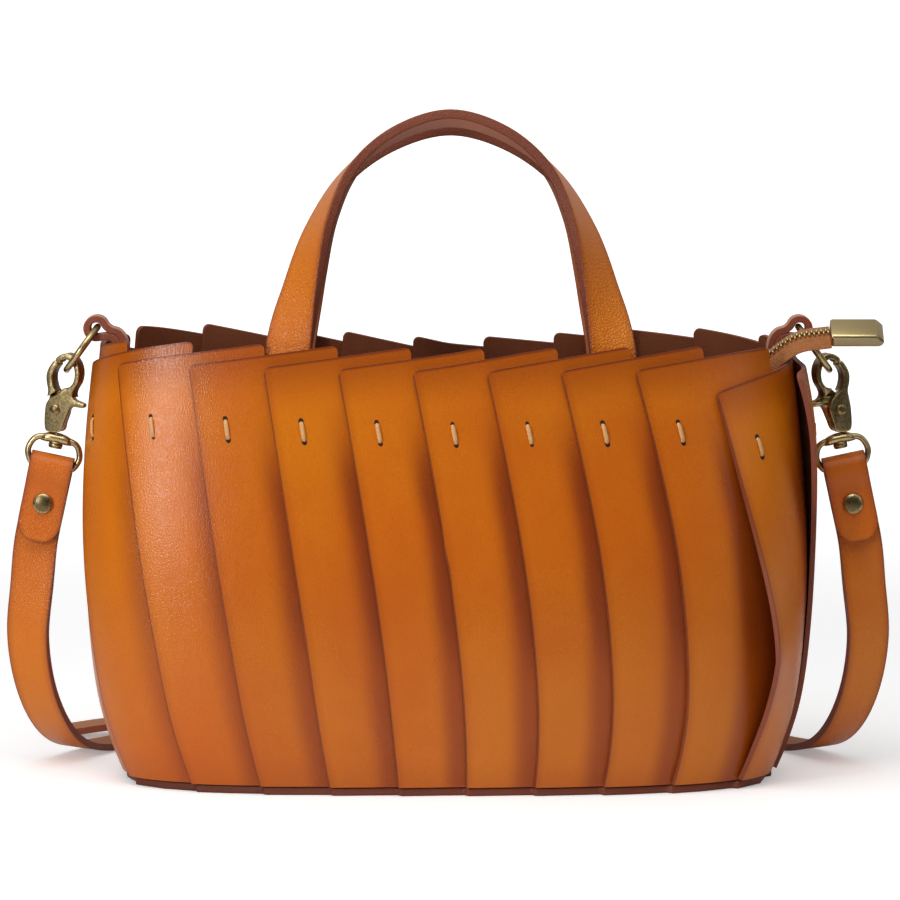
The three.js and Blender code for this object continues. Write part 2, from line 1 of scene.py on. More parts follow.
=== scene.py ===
# Leather handbag: a tote whose body is a ring of slanted, lapped leather panels, with two handles,
# an open zip, and a shoulder strap on trigger hooks. Metres, +Z up, front at -Y.
import bisect
import math

import bmesh
import bpy
from mathutils import Matrix, Vector, noise


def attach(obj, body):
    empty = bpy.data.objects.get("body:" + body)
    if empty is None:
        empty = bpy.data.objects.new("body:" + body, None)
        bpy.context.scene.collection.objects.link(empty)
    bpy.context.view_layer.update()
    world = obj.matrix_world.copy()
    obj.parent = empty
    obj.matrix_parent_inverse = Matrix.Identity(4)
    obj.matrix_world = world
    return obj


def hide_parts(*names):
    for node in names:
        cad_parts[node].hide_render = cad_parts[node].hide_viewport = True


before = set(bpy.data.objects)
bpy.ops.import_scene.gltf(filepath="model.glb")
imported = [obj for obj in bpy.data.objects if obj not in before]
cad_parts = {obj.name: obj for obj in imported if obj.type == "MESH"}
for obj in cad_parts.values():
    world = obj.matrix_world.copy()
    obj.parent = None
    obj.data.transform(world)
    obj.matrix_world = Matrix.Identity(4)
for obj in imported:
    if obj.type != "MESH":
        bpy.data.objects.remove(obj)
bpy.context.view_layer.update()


# Body panels
# Twenty-two stiff pieces of vegetable-tanned leather stand in a ring, each lapped over the one before it.
# They are cut square, dyed tan, and burnished dark along their edges; the inside is bare brown flesh.
PANEL_COUNT = 22
PANEL_PITCHES = 2
PANEL_LEATHER = 0.002
LAP_STEP = 0.0025
PANEL_FOOT = 0.0035
RIM_LOW = 0.168
RIM_RISE = 0.009
RIM_MIDDLE_DIP = 0.0035
RIM_BACK_DIP = 0.0015
RIM_BACK_RISE = 0.0035
RIM_END_DIP = 0.0036
RIM_RIGHT_POWER = 8
RIM_LEFT_POWER = 16
RIM_END_FALL = 0.001
SLANT_PITCHES = 0.77
SLANT_POWER = 1.7
CORNER_PANELS = {  # index: drop of its free top corner, flare of its free edge, where, over how much
    4: (0.009, 0.012, 0.33, 0.32),
    5: (0.000, 0.010, 1.00, 0.30),
    15: (0.009, 0.009, 0.33, 0.32),
    16: (-0.006, 0.000, 1.00, 1.00),
}
PANEL_CORNER = 0.003
PANEL_COLUMNS = 30
PANEL_ROWS = 48
PANEL_EDGE_ROUND = 0.0005
PANEL_UNEVEN = 0.00022
UNEVEN_SEED = 3.1
PANEL_RED = 0.06
RED_SPREAD = 0.16
RED_SEED = 7.3
PLAN_POWER = 3
PLAN_SAMPLES = 3600
RIM_PLAN = (0.1385, 0.047)
BODY_SECTIONS = (  # height, half length, half depth, on the inner face of the panels
    (0.000, 0.1230, 0.0480),
    (0.012, 0.1280, 0.0505),
    (0.030, 0.1335, 0.0525),
    (0.060, 0.1375, 0.0535),
    (0.095, 0.1390, 0.0525),
    (0.130, 0.1375, 0.0490),
    (0.180, 0.1330, 0.0425),
)
TAN_LIGHT = (0.700, 0.196, 0.005, 1)
TAN_DEEP = (0.600, 0.126, 0.003, 1)
TAN_RED = (0.270, 0.037, 0.003, 1)
TAN_BURNT_AND_SHADE = (0.110, 0.014, 0.005, 1)
FLESH_BROWN = (0.255, 0.068, 0.022, 1)
EDGE_BROWN = (0.280, 0.064, 0.027, 1)
FLESH_NAP = 0.0007
FLESH_RELIEF = 0.0002
CREASE_SHADE = 0.14
CLOUD_SHINE = 0.06
LEATHER_SHINE = 0.36
GRAIN_STRENGTH = 0.5
PEBBLE_FADE = 0.03
PEBBLE_GAIN = 1.6


def darker(colour, share):
    return tuple(share * value for value in colour[:3]) + (1,)


def along_table(table, place):
    """The other columns of a table, smoothly read at a place in its first column."""
    i = min(len(table) - 2, max(0, sum(row[0] <= place for row in table) - 1))
    low, high = table[i], table[i + 1]
    span = high[0] - low[0]
    t = (place - low[0]) / span
    values = []
    for k in range(1, len(low)):
        step = high[k] - low[k]
        before = table[i - 1] if i else None
        after = table[i + 2] if i + 2 < len(table) else None
        slope_in = (low[k] - before[k]) / (low[0] - before[0]) * span if before else step
        slope_out = (after[k] - high[k]) / (after[0] - high[0]) * span if after else step
        start = (step + slope_in) / 2
        end = (step + slope_out) / 2
        curve = (3 * step - 2 * start - end) * t ** 2 + (start + end - 2 * step) * t ** 3
        values.append(low[k] + start * t + curve)
    return values


def plan_point(angle, half_length, half_depth):
    """A point of the body's rounded plan."""
    def flatten(value):
        return math.copysign(abs(value) ** (2 / PLAN_POWER), value)
    return Vector((half_length * flatten(math.cos(angle)), half_depth * flatten(math.sin(angle))))


plan_angles = [2 * math.pi * i / PLAN_SAMPLES - math.pi / 2 for i in range(PLAN_SAMPLES + 1)]
plan_lengths = [0.0]
for first, second in zip(plan_angles, plan_angles[1:]):
    step = plan_point(second, *RIM_PLAN) - plan_point(first, *RIM_PLAN)
    plan_lengths.append(plan_lengths[-1] + step.length)


def angle_at(way):
    """The plan's angle at a way round from the front's middle, in panel pitches."""
    length = (way / PANEL_COUNT % 1) * plan_lengths[-1]
    i = min(PLAN_SAMPLES, max(1, bisect.bisect_right(plan_lengths, length)))
    part = (length - plan_lengths[i - 1]) / (plan_lengths[i] - plan_lengths[i - 1])
    return plan_angles[i - 1] + part * (plan_angles[i] - plan_angles[i - 1])


def wall_point(way, height, outward):
    """A point on the body's wall, moved outward from the panels' inner face."""
    half_length, half_depth = along_table(BODY_SECTIONS, height)
    point = plan_point(angle_at(way), half_length, half_depth)
    steep = PLAN_POWER - 1
    normal = Vector((
        math.copysign(abs(point.x / half_length) ** steep, point.x) / half_length,
        math.copysign(abs(point.y / half_depth) ** steep, point.y) / half_depth,
    )).normalized()
    point += outward * normal
    return Vector((point.x, point.y, height))


def rim_dip(way):
    """How far the rim lies under its highest line."""
    x, y = plan_point(angle_at(way), 1, 1)
    end_part = abs(x)
    middle = (RIM_MIDDLE_DIP + RIM_BACK_DIP * y) * (1 - end_part)
    back = RIM_BACK_RISE * max(0, y) * end_part
    power = RIM_RIGHT_POWER if x > 0 else RIM_LEFT_POWER
    return middle - back + RIM_END_DIP * end_part ** power + RIM_END_FALL * x


def panel_point(index, part, rise, lift=0.0):
    """A point on a panel's outer face: part runs from its lapping edge, rise from its foot to its top."""
    way = index - 0.5 + PANEL_PITCHES * part
    drop, flare, flare_at, spread = CORNER_PANELS.get(index, (0, 0, 1, 1))
    top = RIM_LOW + RIM_RISE * part - rim_dip(way) - drop * (1 - part)
    height = PANEL_FOOT + rise * (top - PANEL_FOOT)
    free = max(0, 1 - PANEL_PITCHES * part) ** 2
    stand = flare * free * min(1, rise / spread) * math.exp(-((rise - flare_at) / spread) ** 2)
    slant = SLANT_PITCHES * (1 - min(1, height / RIM_LOW) ** SLANT_POWER)
    outward = PANEL_PITCHES * LAP_STEP * (1 - part) + stand + PANEL_LEATHER + lift
    return wall_point(way + slant, height, outward)


def crowd(t, strength=0.8):
    """Crowds evenly spread values from 0 to 1 towards both ends."""
    return t - strength * math.sin(2 * math.pi * t) / (2 * math.pi)


def round_corner(from_side, from_end, radius):
    """Moves a place near a square corner onto a rounded one; both distances are from its edges."""
    if from_side >= radius or from_end >= radius:
        return from_side, from_end
    a = 1 - from_side / radius
    b = 1 - from_end / radius
    return radius * (1 - a * math.sqrt(1 - b * b / 2)), radius * (1 - b * math.sqrt(1 - a * a / 2))


def map_surface(target, spots):
    """Gives a bmesh a UV map from the spot of each vertex."""
    uv = target.loops.layers.uv.new("UVMap")
    for face in target.faces:
        for loop in face.loops:
            loop[uv].uv = spots[loop.vert]


def add_object(name, source):
    """Makes an object of a bmesh."""
    mesh = bpy.data.meshes.new(name)
    source.to_mesh(mesh)
    source.free()
    made = bpy.data.objects.new(name, mesh)
    bpy.context.scene.collection.objects.link(made)
    return made


def finish_piece(name, source, materials, body, slot, *nodes):
    """Makes a piece of a bmesh, gives it its materials, and ties it to the frame."""
    piece = add_object(name, source)
    piece.data.shade_smooth()
    for material in materials:
        piece.data.materials.append(material)
    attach(piece, body)
    if nodes:
        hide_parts(*nodes)
    return piece


def thicken(piece, thickness, offset, edge_round):
    """Gives a sheet its thickness, with its second and third materials on the back and the cut edge."""
    solidify = piece.modifiers.new("thickness", "SOLIDIFY")
    solidify.thickness = thickness
    solidify.offset = offset
    solidify.material_offset = 1
    solidify.material_offset_rim = 2
    bevel = piece.modifiers.new("edge", "BEVEL")
    bevel.width = edge_round
    bevel.segments = 3
    bevel.limit_method = "ANGLE"
    bevel.angle_limit = math.radians(50)
    piece.modifiers.new("normals", "WEIGHTED_NORMAL").keep_sharp = True


def fill_sockets(tree, node, values):
    """Fills a node's inputs: a value is set, and another node's socket is linked."""
    for key, value in values.items():
        if isinstance(value, bpy.types.NodeSocket):
            tree.links.new(value, node.inputs[key])
        else:
            node.inputs[key].default_value = value


def add_node(tree, kind, values=None, **settings):
    """A new node with its settings and its inputs."""
    node = tree.nodes.new(kind)
    for key, value in settings.items():
        setattr(node, key, value)
    fill_sockets(tree, node, values or {})
    return node


def math_node(tree, operation, *values):
    return add_node(tree, "ShaderNodeMath", dict(enumerate(values)), operation=operation).outputs[0]


def blend_colour(tree, factor, first, second):
    return add_node(tree, "ShaderNodeMix", {0: factor, 6: first, 7: second}, data_type="RGBA").outputs[2]


def ramp(tree, value, low, high):
    """Zero at low, one at high, smooth between."""
    values = {0: value, 1: low, 2: high}
    return add_node(tree, "ShaderNodeMapRange", values, interpolation_type="SMOOTHSTEP").outputs[0]


def noise_node(tree, place, scale, detail=2.0):
    values = {"Vector": place, "Scale": scale, "Detail": detail}
    return add_node(tree, "ShaderNodeTexNoise", values).outputs[0]


def bump_node(tree, height, strength, depth):
    values = {"Height": height, "Strength": strength, "Distance": depth}
    return add_node(tree, "ShaderNodeBump", values).outputs[0]


def split(tree, vector):
    """A vector's three numbers, by their names X, Y and Z."""
    return add_node(tree, "ShaderNodeSeparateXYZ", {0: vector}).outputs


def object_place(tree):
    return add_node(tree, "ShaderNodeTexCoord").outputs["Object"]


def surface_place(tree):
    """The place on a piece's UV map."""
    return add_node(tree, "ShaderNodeUVMap").outputs[0]


# Grain: the hide's small cells and the creases between them, and slow clouds of deeper dye
grain_group = bpy.data.node_groups.new("leather_grain", "ShaderNodeTree")
for socket, value in (("Cell Size", 0.001), ("Cloud Size", 0.075)):
    made = grain_group.interface.new_socket(socket, in_out="INPUT", socket_type="NodeSocketFloat")
    made.default_value = value
for socket in ("Height", "Clouds", "Creases"):
    grain_group.interface.new_socket(socket, in_out="OUTPUT", socket_type="NodeSocketFloat")
inside = add_node(grain_group, "NodeGroupInput")
place = object_place(grain_group)
cell_scale = math_node(grain_group, "DIVIDE", 1.0, inside.outputs["Cell Size"])
cloud_scale = math_node(grain_group, "DIVIDE", 1.0, inside.outputs["Cloud Size"])
cells = add_node(grain_group, "ShaderNodeTexVoronoi", {"Vector": place, "Scale": cell_scale},
                 feature="DISTANCE_TO_EDGE").outputs["Distance"]
fine = noise_node(grain_group, place, cell_scale, 3.0)
slow = noise_node(grain_group, place, cloud_scale, 5.0)
pebbles = ramp(grain_group, cells, 0.0, 0.3)
add_node(grain_group, "NodeGroupOutput", {
    "Height": math_node(grain_group, "MULTIPLY_ADD", fine, 0.7, pebbles),
    "Clouds": ramp(grain_group, slow, 0.28, 0.72),
    "Creases": ramp(grain_group, cells, 0.14, 0.0),
})


def new_material(name):
    """A material with its node tree and its surface shader."""
    material = bpy.data.materials.new(name)
    material.use_nodes = True
    tree = material.node_tree
    shader = next(node for node in tree.nodes if node.type == "BSDF_PRINCIPLED")
    return material, tree, shader


def leather(name, light, deep, rough, burnish_and_shade=None, cell=0.001, relief=0.00012, pebbled_below=None):
    """Dyed leather: clouds of dye, grain, and the darker burnished borders and painted shade that a given
    painting function adds.
    """
    material, tree, shader = new_material(name)
    grain = add_node(tree, "ShaderNodeGroup", node_tree=grain_group)
    grain.inputs["Cell Size"].default_value = cell
    clouds = grain.outputs["Clouds"]
    colour = blend_colour(tree, clouds, deep, light)
    if burnish_and_shade:
        colour = burnish_and_shade(tree, colour, clouds)
    creases = math_node(tree, "MULTIPLY", grain.outputs["Creases"], CREASE_SHADE)
    height = grain.outputs["Height"]
    if pebbled_below:
        up = split(tree, object_place(tree))["Z"]
        pebbled = ramp(tree, up, pebbled_below + PEBBLE_FADE, pebbled_below)
        stronger = math_node(tree, "MULTIPLY_ADD", pebbled, PEBBLE_GAIN, 1.0)
        height = math_node(tree, "MULTIPLY", height, stronger)
    fill_sockets(tree, shader, {
        "Base Color": blend_colour(tree, creases, colour, darker(deep, 0.4)),
        "Roughness": math_node(tree, "MULTIPLY_ADD", clouds, -CLOUD_SHINE, rough),
        "Normal": bump_node(tree, height, GRAIN_STRENGTH, relief),
        "Specular IOR Level": LEATHER_SHINE,
    })
    return material


def panel_burnish_and_shade(tree, colour, clouds):
    """Painted shade and dye: redder towards the next panel, where its raised lapping edge shades this one,
    and more so towards the bag's right end, away from the key light; redder below the middle, at the top
    and foot and along the lapping edge, and burnt in a thin line along the cut edges.
    """
    spot = split(tree, surface_place(tree))
    tone = add_node(tree, "ShaderNodeAttribute", attribute_name="tone").outputs["Fac"]
    colour = blend_colour(tree, tone, colour, TAN_RED)
    across = math_node(tree, "MULTIPLY_ADD", clouds, 0.05, spot["X"])
    up = math_node(tree, "MULTIPLY_ADD", clouds, 0.03, spot["Y"])
    along = split(tree, object_place(tree))["X"]
    # Painted shade: the shading near each lap grows towards the bag's right end, away from the key light.
    depth = math_node(tree, "MULTIPLY_ADD", ramp(tree, along, -0.14, 0.0), 0.45, 0.55)
    # Painted shade mixed with dye where the next panel's raised edge shades this one, weakest near the top.
    lap_dye_and_shade = math_node(tree, "MULTIPLY", ramp(tree, across, 0.28, 0.50), ramp(tree, up, 1.02, 0.66))
    lap_dye_and_shade = math_node(tree, "MULTIPLY", lap_dye_and_shade, depth)
    # Deeper painted shade close to the next panel, fading towards the foot.
    shaded = math_node(tree, "MULTIPLY", lap_dye_and_shade, ramp(tree, up, 0.12, 0.45))
    for value, low, high, share, tint in (  # what the tint follows, where it starts and is full, its share; the two rows near the next panel are painted shade as well as dye
        (up, 0.64, 0.42, 0.16, TAN_RED),
        (lap_dye_and_shade, 0.0, 1.0, 0.78, TAN_RED),
        (shaded, 0.40, 1.0, 0.36, TAN_BURNT_AND_SHADE),
        (spot["X"], 0.07, 0.0, 0.30, TAN_RED),
        (up, 0.91, 1.03, 0.60, TAN_RED),
        (up, 0.10, 0.0, 0.20, TAN_RED),
        (spot["X"], 0.014, 0.002, 0.75, TAN_BURNT_AND_SHADE),
        (spot["Y"], 0.992, 0.999, 0.75, TAN_BURNT_AND_SHADE),
    ):
        mask = math_node(tree, "MULTIPLY", ramp(tree, value, low, high), share)
        colour = blend_colour(tree, mask, colour, tint)
    return colour


panel_leather = leather("panel_leather", TAN_LIGHT, TAN_DEEP, 0.30, panel_burnish_and_shade, relief=0.00007)
panel_flesh = leather("panel_flesh", FLESH_BROWN, darker(FLESH_BROWN, 0.7), 0.85,
                      cell=FLESH_NAP, relief=FLESH_RELIEF)
cut_edge = leather("cut_edge", EDGE_BROWN, darker(EDGE_BROWN, 0.7), 0.45, cell=0.0006)
panel_sides = (panel_leather, panel_flesh, cut_edge)

panel_width = PANEL_PITCHES * plan_lengths[-1] / PANEL_COUNT
panel_height = RIM_LOW - PANEL_FOOT
for index in range(PANEL_COUNT):
    panel = bmesh.new()
    bmesh.ops.create_grid(panel, x_segments=PANEL_COLUMNS, y_segments=PANEL_ROWS, size=1)
    tone = panel.verts.layers.float.new("tone")
    red = PANEL_RED + RED_SPREAD * noise.noise(Vector((RED_SEED * index, 0.5, 0)))
    spots = {}
    for vertex in panel.verts:
        across = crowd((vertex.co.x + 1) / 2) * panel_width
        up = crowd((vertex.co.y + 1) / 2) * panel_height
        from_left, from_top = round_corner(across, panel_height - up, PANEL_CORNER)
        from_right, from_top = round_corner(panel_width - from_left, from_top, PANEL_CORNER)
        part = 1 - from_right / panel_width
        rise = 1 - from_top / panel_height
        uneven = PANEL_UNEVEN * noise.noise(Vector((UNEVEN_SEED * index, 2 * part, 3 * rise)))
        spots[vertex] = (part, rise)
        vertex[tone] = red
        vertex.co = panel_point(index, part, rise, uneven)
    map_surface(panel, spots)
    node = f"panel_{index + 1:02d}"
    piece = finish_piece(f"leather_{node}", panel, panel_sides, "bag", "panel_leather", node)
    thicken(piece, PANEL_LEATHER, -1, PANEL_EDGE_ROUND)


# Base
# One thick plate of brown sole leather closes the bag below, and the panels' feet are glued on its rim.
# Its cut edge shows as a thin dark band that steps in and out with the laps.
BASE_ROUND = 0.0007


def round_edges(target, edges, radius, segments):
    bmesh.ops.bevel(target, geom=edges, offset=radius, offset_type="OFFSET", segments=segments, profile=0.5,
                    affect="EDGES", material=-1, clamp_overlap=True)


def rounded_copy(node, radius):
    """A copy of a hard piece's solid with its sharp edges rounded."""
    copy = bmesh.new()
    copy.from_mesh(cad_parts[node].data)
    bmesh.ops.remove_doubles(copy, verts=copy.verts, dist=1e-6)
    bmesh.ops.dissolve_limit(copy, angle_limit=math.radians(2), verts=copy.verts, edges=copy.edges)
    sharp = [edge for edge in copy.edges if edge.calc_face_angle(0) > math.radians(30)]
    round_edges(copy, sharp, radius, 3)
    return copy


base_leather = leather("base_leather", darker(EDGE_BROWN, 0.75), darker(EDGE_BROWN, 0.5), 0.55)
finish_piece("base_plate", rounded_copy("base", BASE_ROUND), (base_leather,), "bag", "base_leather", "base")


# Panel stitches
# One stitch of waxed tan thread holds each panel to the one under it, near its top.
# The thread goes through two awl holes, each drawn as a flat near-black spot of painted shade.
STITCH_PART = 0.195
STITCH_RISE = 0.842
STITCH_HALF = 0.024
STITCH_RADIUS = 0.0005
STITCH_TAPER = (0.8, 1, 1, 0.8)
STITCH_FLATNESS = 1.8
STITCH_BOW = 0.0006
STITCH_KNEE = 0.35
STITCH_KNEE_LIFT = 0.6 * STITCH_BOW
STITCH_ASIDE = 0.02
STITCH_STEPS = 10
STITCH_SIDES = 8
HOLE_RADIUS = 0.0011
HOLE_SIZE = (0.95 * HOLE_RADIUS, 1.2 * HOLE_RADIUS, 0.1 * HOLE_RADIUS)
THREAD_TAN = (0.76, 0.40, 0.15, 1)
HOLE_SHADE = (0.02, 0.006, 0.003, 1)


def smooth_path(points, t, closed=False):
    """A point on a centripetal spline through points, at t from 0 to 1."""
    count = len(points)
    spans = count if closed else count - 1
    i = min(spans - 1, int(t * spans))
    weight = t * spans - i

    def at(k):
        if closed:
            return points[k % count]
        if k < 0:
            return 2 * points[0] - points[1]
        if k >= count:
            return 2 * points[-1] - points[-2]
        return points[k]

    before, low, high, after = (at(i + k) for k in (-1, 0, 1, 2))
    span = max(1e-6, math.sqrt((high - low).length))
    span_in = math.sqrt((low - before).length) or span
    span_out = math.sqrt((after - high).length) or span
    start = (low - before) / span_in - (high - before) / (span_in + span) + (high - low) / span
    end = (high - low) / span - (after - low) / (span + span_out) + (after - high) / span_out
    start, end = start * span, end * span
    step = high - low
    curve = (3 * step - 2 * start - end) * weight ** 2 + (start + end - 2 * step) * weight ** 3
    return low + start * weight + curve


def path_way(points, t, closed=False):
    """The direction of a spline at t."""
    near = 1e-4
    later = (t + near) % 1 if closed else min(1, t + near)
    sooner = (t - near) % 1 if closed else max(0, t - near)
    return (smooth_path(points, later, closed) - smooth_path(points, sooner, closed)).normalized()


def join_into(target, source):
    """Adds one bmesh's geometry to another."""
    mesh = bpy.data.meshes.new("joined")
    source.to_mesh(mesh)
    source.free()
    target.from_mesh(mesh)
    bpy.data.meshes.remove(mesh)


def add_rod(target, points, radii, steps, sides, closed=False, flat=1.0, flat_way=Vector((0, 1, 0))):
    """Sweeps a round wire along a spline; radii follow it, and flat widens it along flat_way."""
    rod = bmesh.new()
    bmesh.ops.create_grid(rod, x_segments=sides, y_segments=steps, size=1)
    for vertex in rod.verts:
        turn = math.pi * (vertex.co.x + 1)
        t = (vertex.co.y + 1) / 2
        at = t % 1 if closed else t
        way = path_way(points, at, closed)
        wide = (flat_way - way * flat_way.dot(way)).normalized()
        deep = way.cross(wide)
        place = min(len(radii) - 1.001, t * (len(radii) - 1))
        low = int(place)
        radius = radii[low] + (place - low) * (radii[low + 1] - radii[low])
        offset = math.cos(turn) * flat * wide + math.sin(turn) * deep
        vertex.co = smooth_path(points, at, closed) + radius * offset
    bmesh.ops.remove_doubles(rod, verts=rod.verts, dist=1e-7)
    if not closed:
        bmesh.ops.holes_fill(rod, edges=[edge for edge in rod.edges if edge.is_boundary])
    bmesh.ops.recalc_face_normals(rod, faces=rod.faces)
    join_into(target, rod)


def thread_material():
    """Twisted thread, with painted shade between its plies."""
    material, tree, shader = new_material("waxed_thread")
    values = {"Vector": object_place(tree), "Scale": 420.0, "Distortion": 1.5}
    twist = add_node(tree, "ShaderNodeTexWave", values, bands_direction="DIAGONAL").outputs[0]
    fill_sockets(tree, shader, {
        "Base Color": blend_colour(tree, twist, darker(THREAD_TAN, 0.8), THREAD_TAN),
        "Roughness": 0.6,
        "Normal": bump_node(tree, twist, 0.3, 0.0001),
    })
    return material


waxed_thread = thread_material()
# Near-black spots of painted shade stand in for the holes' dark insides.
hole_shade = leather("stitch_hole", HOLE_SHADE, HOLE_SHADE, 0.8)
stitches = bmesh.new()
holes = bmesh.new()
for index in range(PANEL_COUNT):
    low = panel_point(index, STITCH_PART, STITCH_RISE - STITCH_HALF)
    high = panel_point(index, STITCH_PART, STITCH_RISE + STITCH_HALF)
    up = (high - low).normalized()
    side = (panel_point(index, STITCH_PART + STITCH_ASIDE, STITCH_RISE) - (low + high) / 2).normalized()
    out = side.cross(up)
    middle = (low + high) / 2 + STITCH_BOW * out
    sunk = -STITCH_RADIUS * out
    proud = STITCH_KNEE_LIFT * out
    bent = [
        low + sunk,
        low.lerp(middle, STITCH_KNEE) + proud,
        middle,
        high.lerp(middle, STITCH_KNEE) + proud,
        high + sunk,
    ]
    radii = [share * STITCH_RADIUS for share in STITCH_TAPER]
    add_rod(stitches, bent, radii, STITCH_STEPS, STITCH_SIDES, flat=STITCH_FLATNESS, flat_way=side)
    turned = Matrix((side, up, out)).transposed().to_4x4() @ Matrix.Diagonal((*HOLE_SIZE, 1))
    for end in (low, high):
        bmesh.ops.create_uvsphere(holes, u_segments=12, v_segments=6, radius=1,
                                  matrix=Matrix.Translation(end) @ turned)
finish_piece("panel_stitches", stitches, (waxed_thread,), "bag", "strap_leather")
finish_piece("stitch_holes", holes, (hole_shade,), "bag", "strap_leather")


# Handles
# Two straps of double leather are glued back to back, fixed inside the walls, and turned on their way up:
# flat at the foot and edge-on in the hand. The inner side is brown, and the grain of the legs is pebbled.
HANDLE_WIDTH = 0.018
HANDLE_LEATHER = 0.004
HANDLE_EDGE_ROUND = 0.0008
HANDLE_STEPS = 110
HANDLE_COLUMNS = 8
HANDLE_LEAN = 0.23
HANDLE_FOOT_SLOPE = 0.06
HANDLE_FOOT_Y = -0.0384
HANDLE_FOOT_Z = 0.172
HANDLE_TOP = (0.0, 0.2632, 90)
HANDLE_SHIFT = 0.001
HANDLE_BACK_RISE = 0.955
HANDLE_ROWS = (  # x, z, turn in degrees
    (0.0640, 0.152, 0),
    (0.0634, 0.172, 5),
    (0.0582, 0.197, 38),
    (0.0510, 0.222, 60),
    (0.0396, 0.2426, 77),
    (0.0220, 0.2568, 86),
)
HANDLE_PEBBLED = 0.19
HANDLE_GRAIN = 0.0013
STRIP_SAMPLES = 40
STRIP_CROWDING = 0.75
BLUNT_END = 0.12
LINING_BROWN = (0.560, 0.160, 0.060, 1)


def path_lengths(points, samples):
    """Lengths along a spline from its start to evenly spread values of t."""
    lengths = [0.0]
    for i in range(samples):
        step = smooth_path(points, (i + 1) / samples) - smooth_path(points, i / samples)
        lengths.append(lengths[-1] + step.length)
    return lengths


def strip_place(places, sides, t):
    """A strip's middle at t, the way it runs there, and the way its width lies."""
    way = path_way(places, t)
    side = smooth_path(sides, t)
    return smooth_path(places, t), way, (side - way * side.dot(way)).normalized()


def strip_sheet(rows, width, along, across, round_ends=False, droop=0.0):
    """A strip's middle sheet through rows of (place, way its width lies); droop bends its sides down."""
    places, sides = zip(*rows)
    strip = bmesh.new()
    bmesh.ops.create_grid(strip, x_segments=along, y_segments=across, size=1)
    samples = STRIP_SAMPLES * (len(rows) - 1)
    lengths = path_lengths(places, samples)
    spots = {}
    for vertex in strip.verts:
        t = (vertex.co.x + 1) / 2
        if round_ends:
            t = crowd(t, STRIP_CROWDING)
        distance = t * lengths[-1]
        i = min(samples, max(1, bisect.bisect_left(lengths, distance)))
        t = (i - 1 + (distance - lengths[i - 1]) / (lengths[i] - lengths[i - 1])) / samples
        middle, way, side = strip_place(places, sides, t)
        reach = width / 2
        gap = min(distance, lengths[-1] - distance)
        if round_ends and gap < width / 2:
            reach = max(BLUNT_END * width / 2, math.sqrt(gap * (width - gap)))
        spots[vertex] = (distance, vertex.co.y)
        bend = droop * vertex.co.y ** 2 * way.cross(side)
        vertex.co = middle + reach * vertex.co.y * side + bend
    map_surface(strip, spots)
    return strip


def strip_burnish(tree, colour, clouds):
    """Redder along both edges of a strap and at its first end."""
    spot = split(tree, surface_place(tree))
    from_middle = math_node(tree, "ABSOLUTE", spot["Y"])
    soft = math_node(tree, "MULTIPLY", ramp(tree, from_middle, 0.55, 1.05), 0.45)
    edges = ramp(tree, from_middle, 0.88, 1.0)
    first_end = ramp(tree, spot["X"], 0.0018, 0.0004)
    line = math_node(tree, "MULTIPLY", math_node(tree, "MAXIMUM", edges, first_end), 0.6)
    return blend_colour(tree, line, blend_colour(tree, soft, colour, TAN_RED), TAN_BURNT_AND_SHADE)


def handle_row(x, z, turn, shift, rise):
    """One row of a handle's strip, before the back one is turned round."""
    angle = math.radians(turn)
    above = rise * max(0, z - HANDLE_FOOT_Z)
    below = max(0, HANDLE_FOOT_Z - z)
    y = HANDLE_FOOT_Y + HANDLE_LEAN * above - HANDLE_FOOT_SLOPE * below
    across = Vector((math.cos(angle), -math.sin(angle), HANDLE_LEAN * math.sin(angle)))
    return Vector((x + shift, y, HANDLE_FOOT_Z + above - below)), across


handle_leather = leather("handle_leather", TAN_LIGHT, TAN_DEEP, 0.36, strip_burnish,
                         cell=HANDLE_GRAIN, relief=0.00015, pebbled_below=HANDLE_PEBBLED)
handle_lining = leather("handle_lining", LINING_BROWN, darker(LINING_BROWN, 0.75), 0.5, cell=0.0008)
handle_edge = leather("handle_edge", darker(EDGE_BROWN, 0.8), darker(EDGE_BROWN, 0.55), 0.5,
                      cell=0.0011, relief=0.0003)
handle_sides = (handle_lining, handle_leather, handle_edge)
for node, shift, rise, turn in (
    ("handle_front", HANDLE_SHIFT, 1, 0),
    ("handle_back", -HANDLE_SHIFT, HANDLE_BACK_RISE, math.pi),
):
    left_leg = [handle_row(-x, z, angle, shift, rise) for x, z, angle in HANDLE_ROWS]
    right_leg = [handle_row(x, z, 180 - angle, shift, rise) for x, z, angle in reversed(HANDLE_ROWS)]
    rows = left_leg + [handle_row(*HANDLE_TOP, shift, rise)] + right_leg
    handle = strip_sheet(rows, HANDLE_WIDTH, HANDLE_STEPS, HANDLE_COLUMNS)
    bmesh.ops.rotate(handle, verts=handle.verts, cent=(0, 0, 0), matrix=Matrix.Rotation(turn, 3, "Z"))
    piece = finish_piece(f"leather_{node}", handle, handle_sides, "bag", "strap_leather", node)
    thicken(piece, HANDLE_LEATHER, 0, HANDLE_EDGE_ROUND)


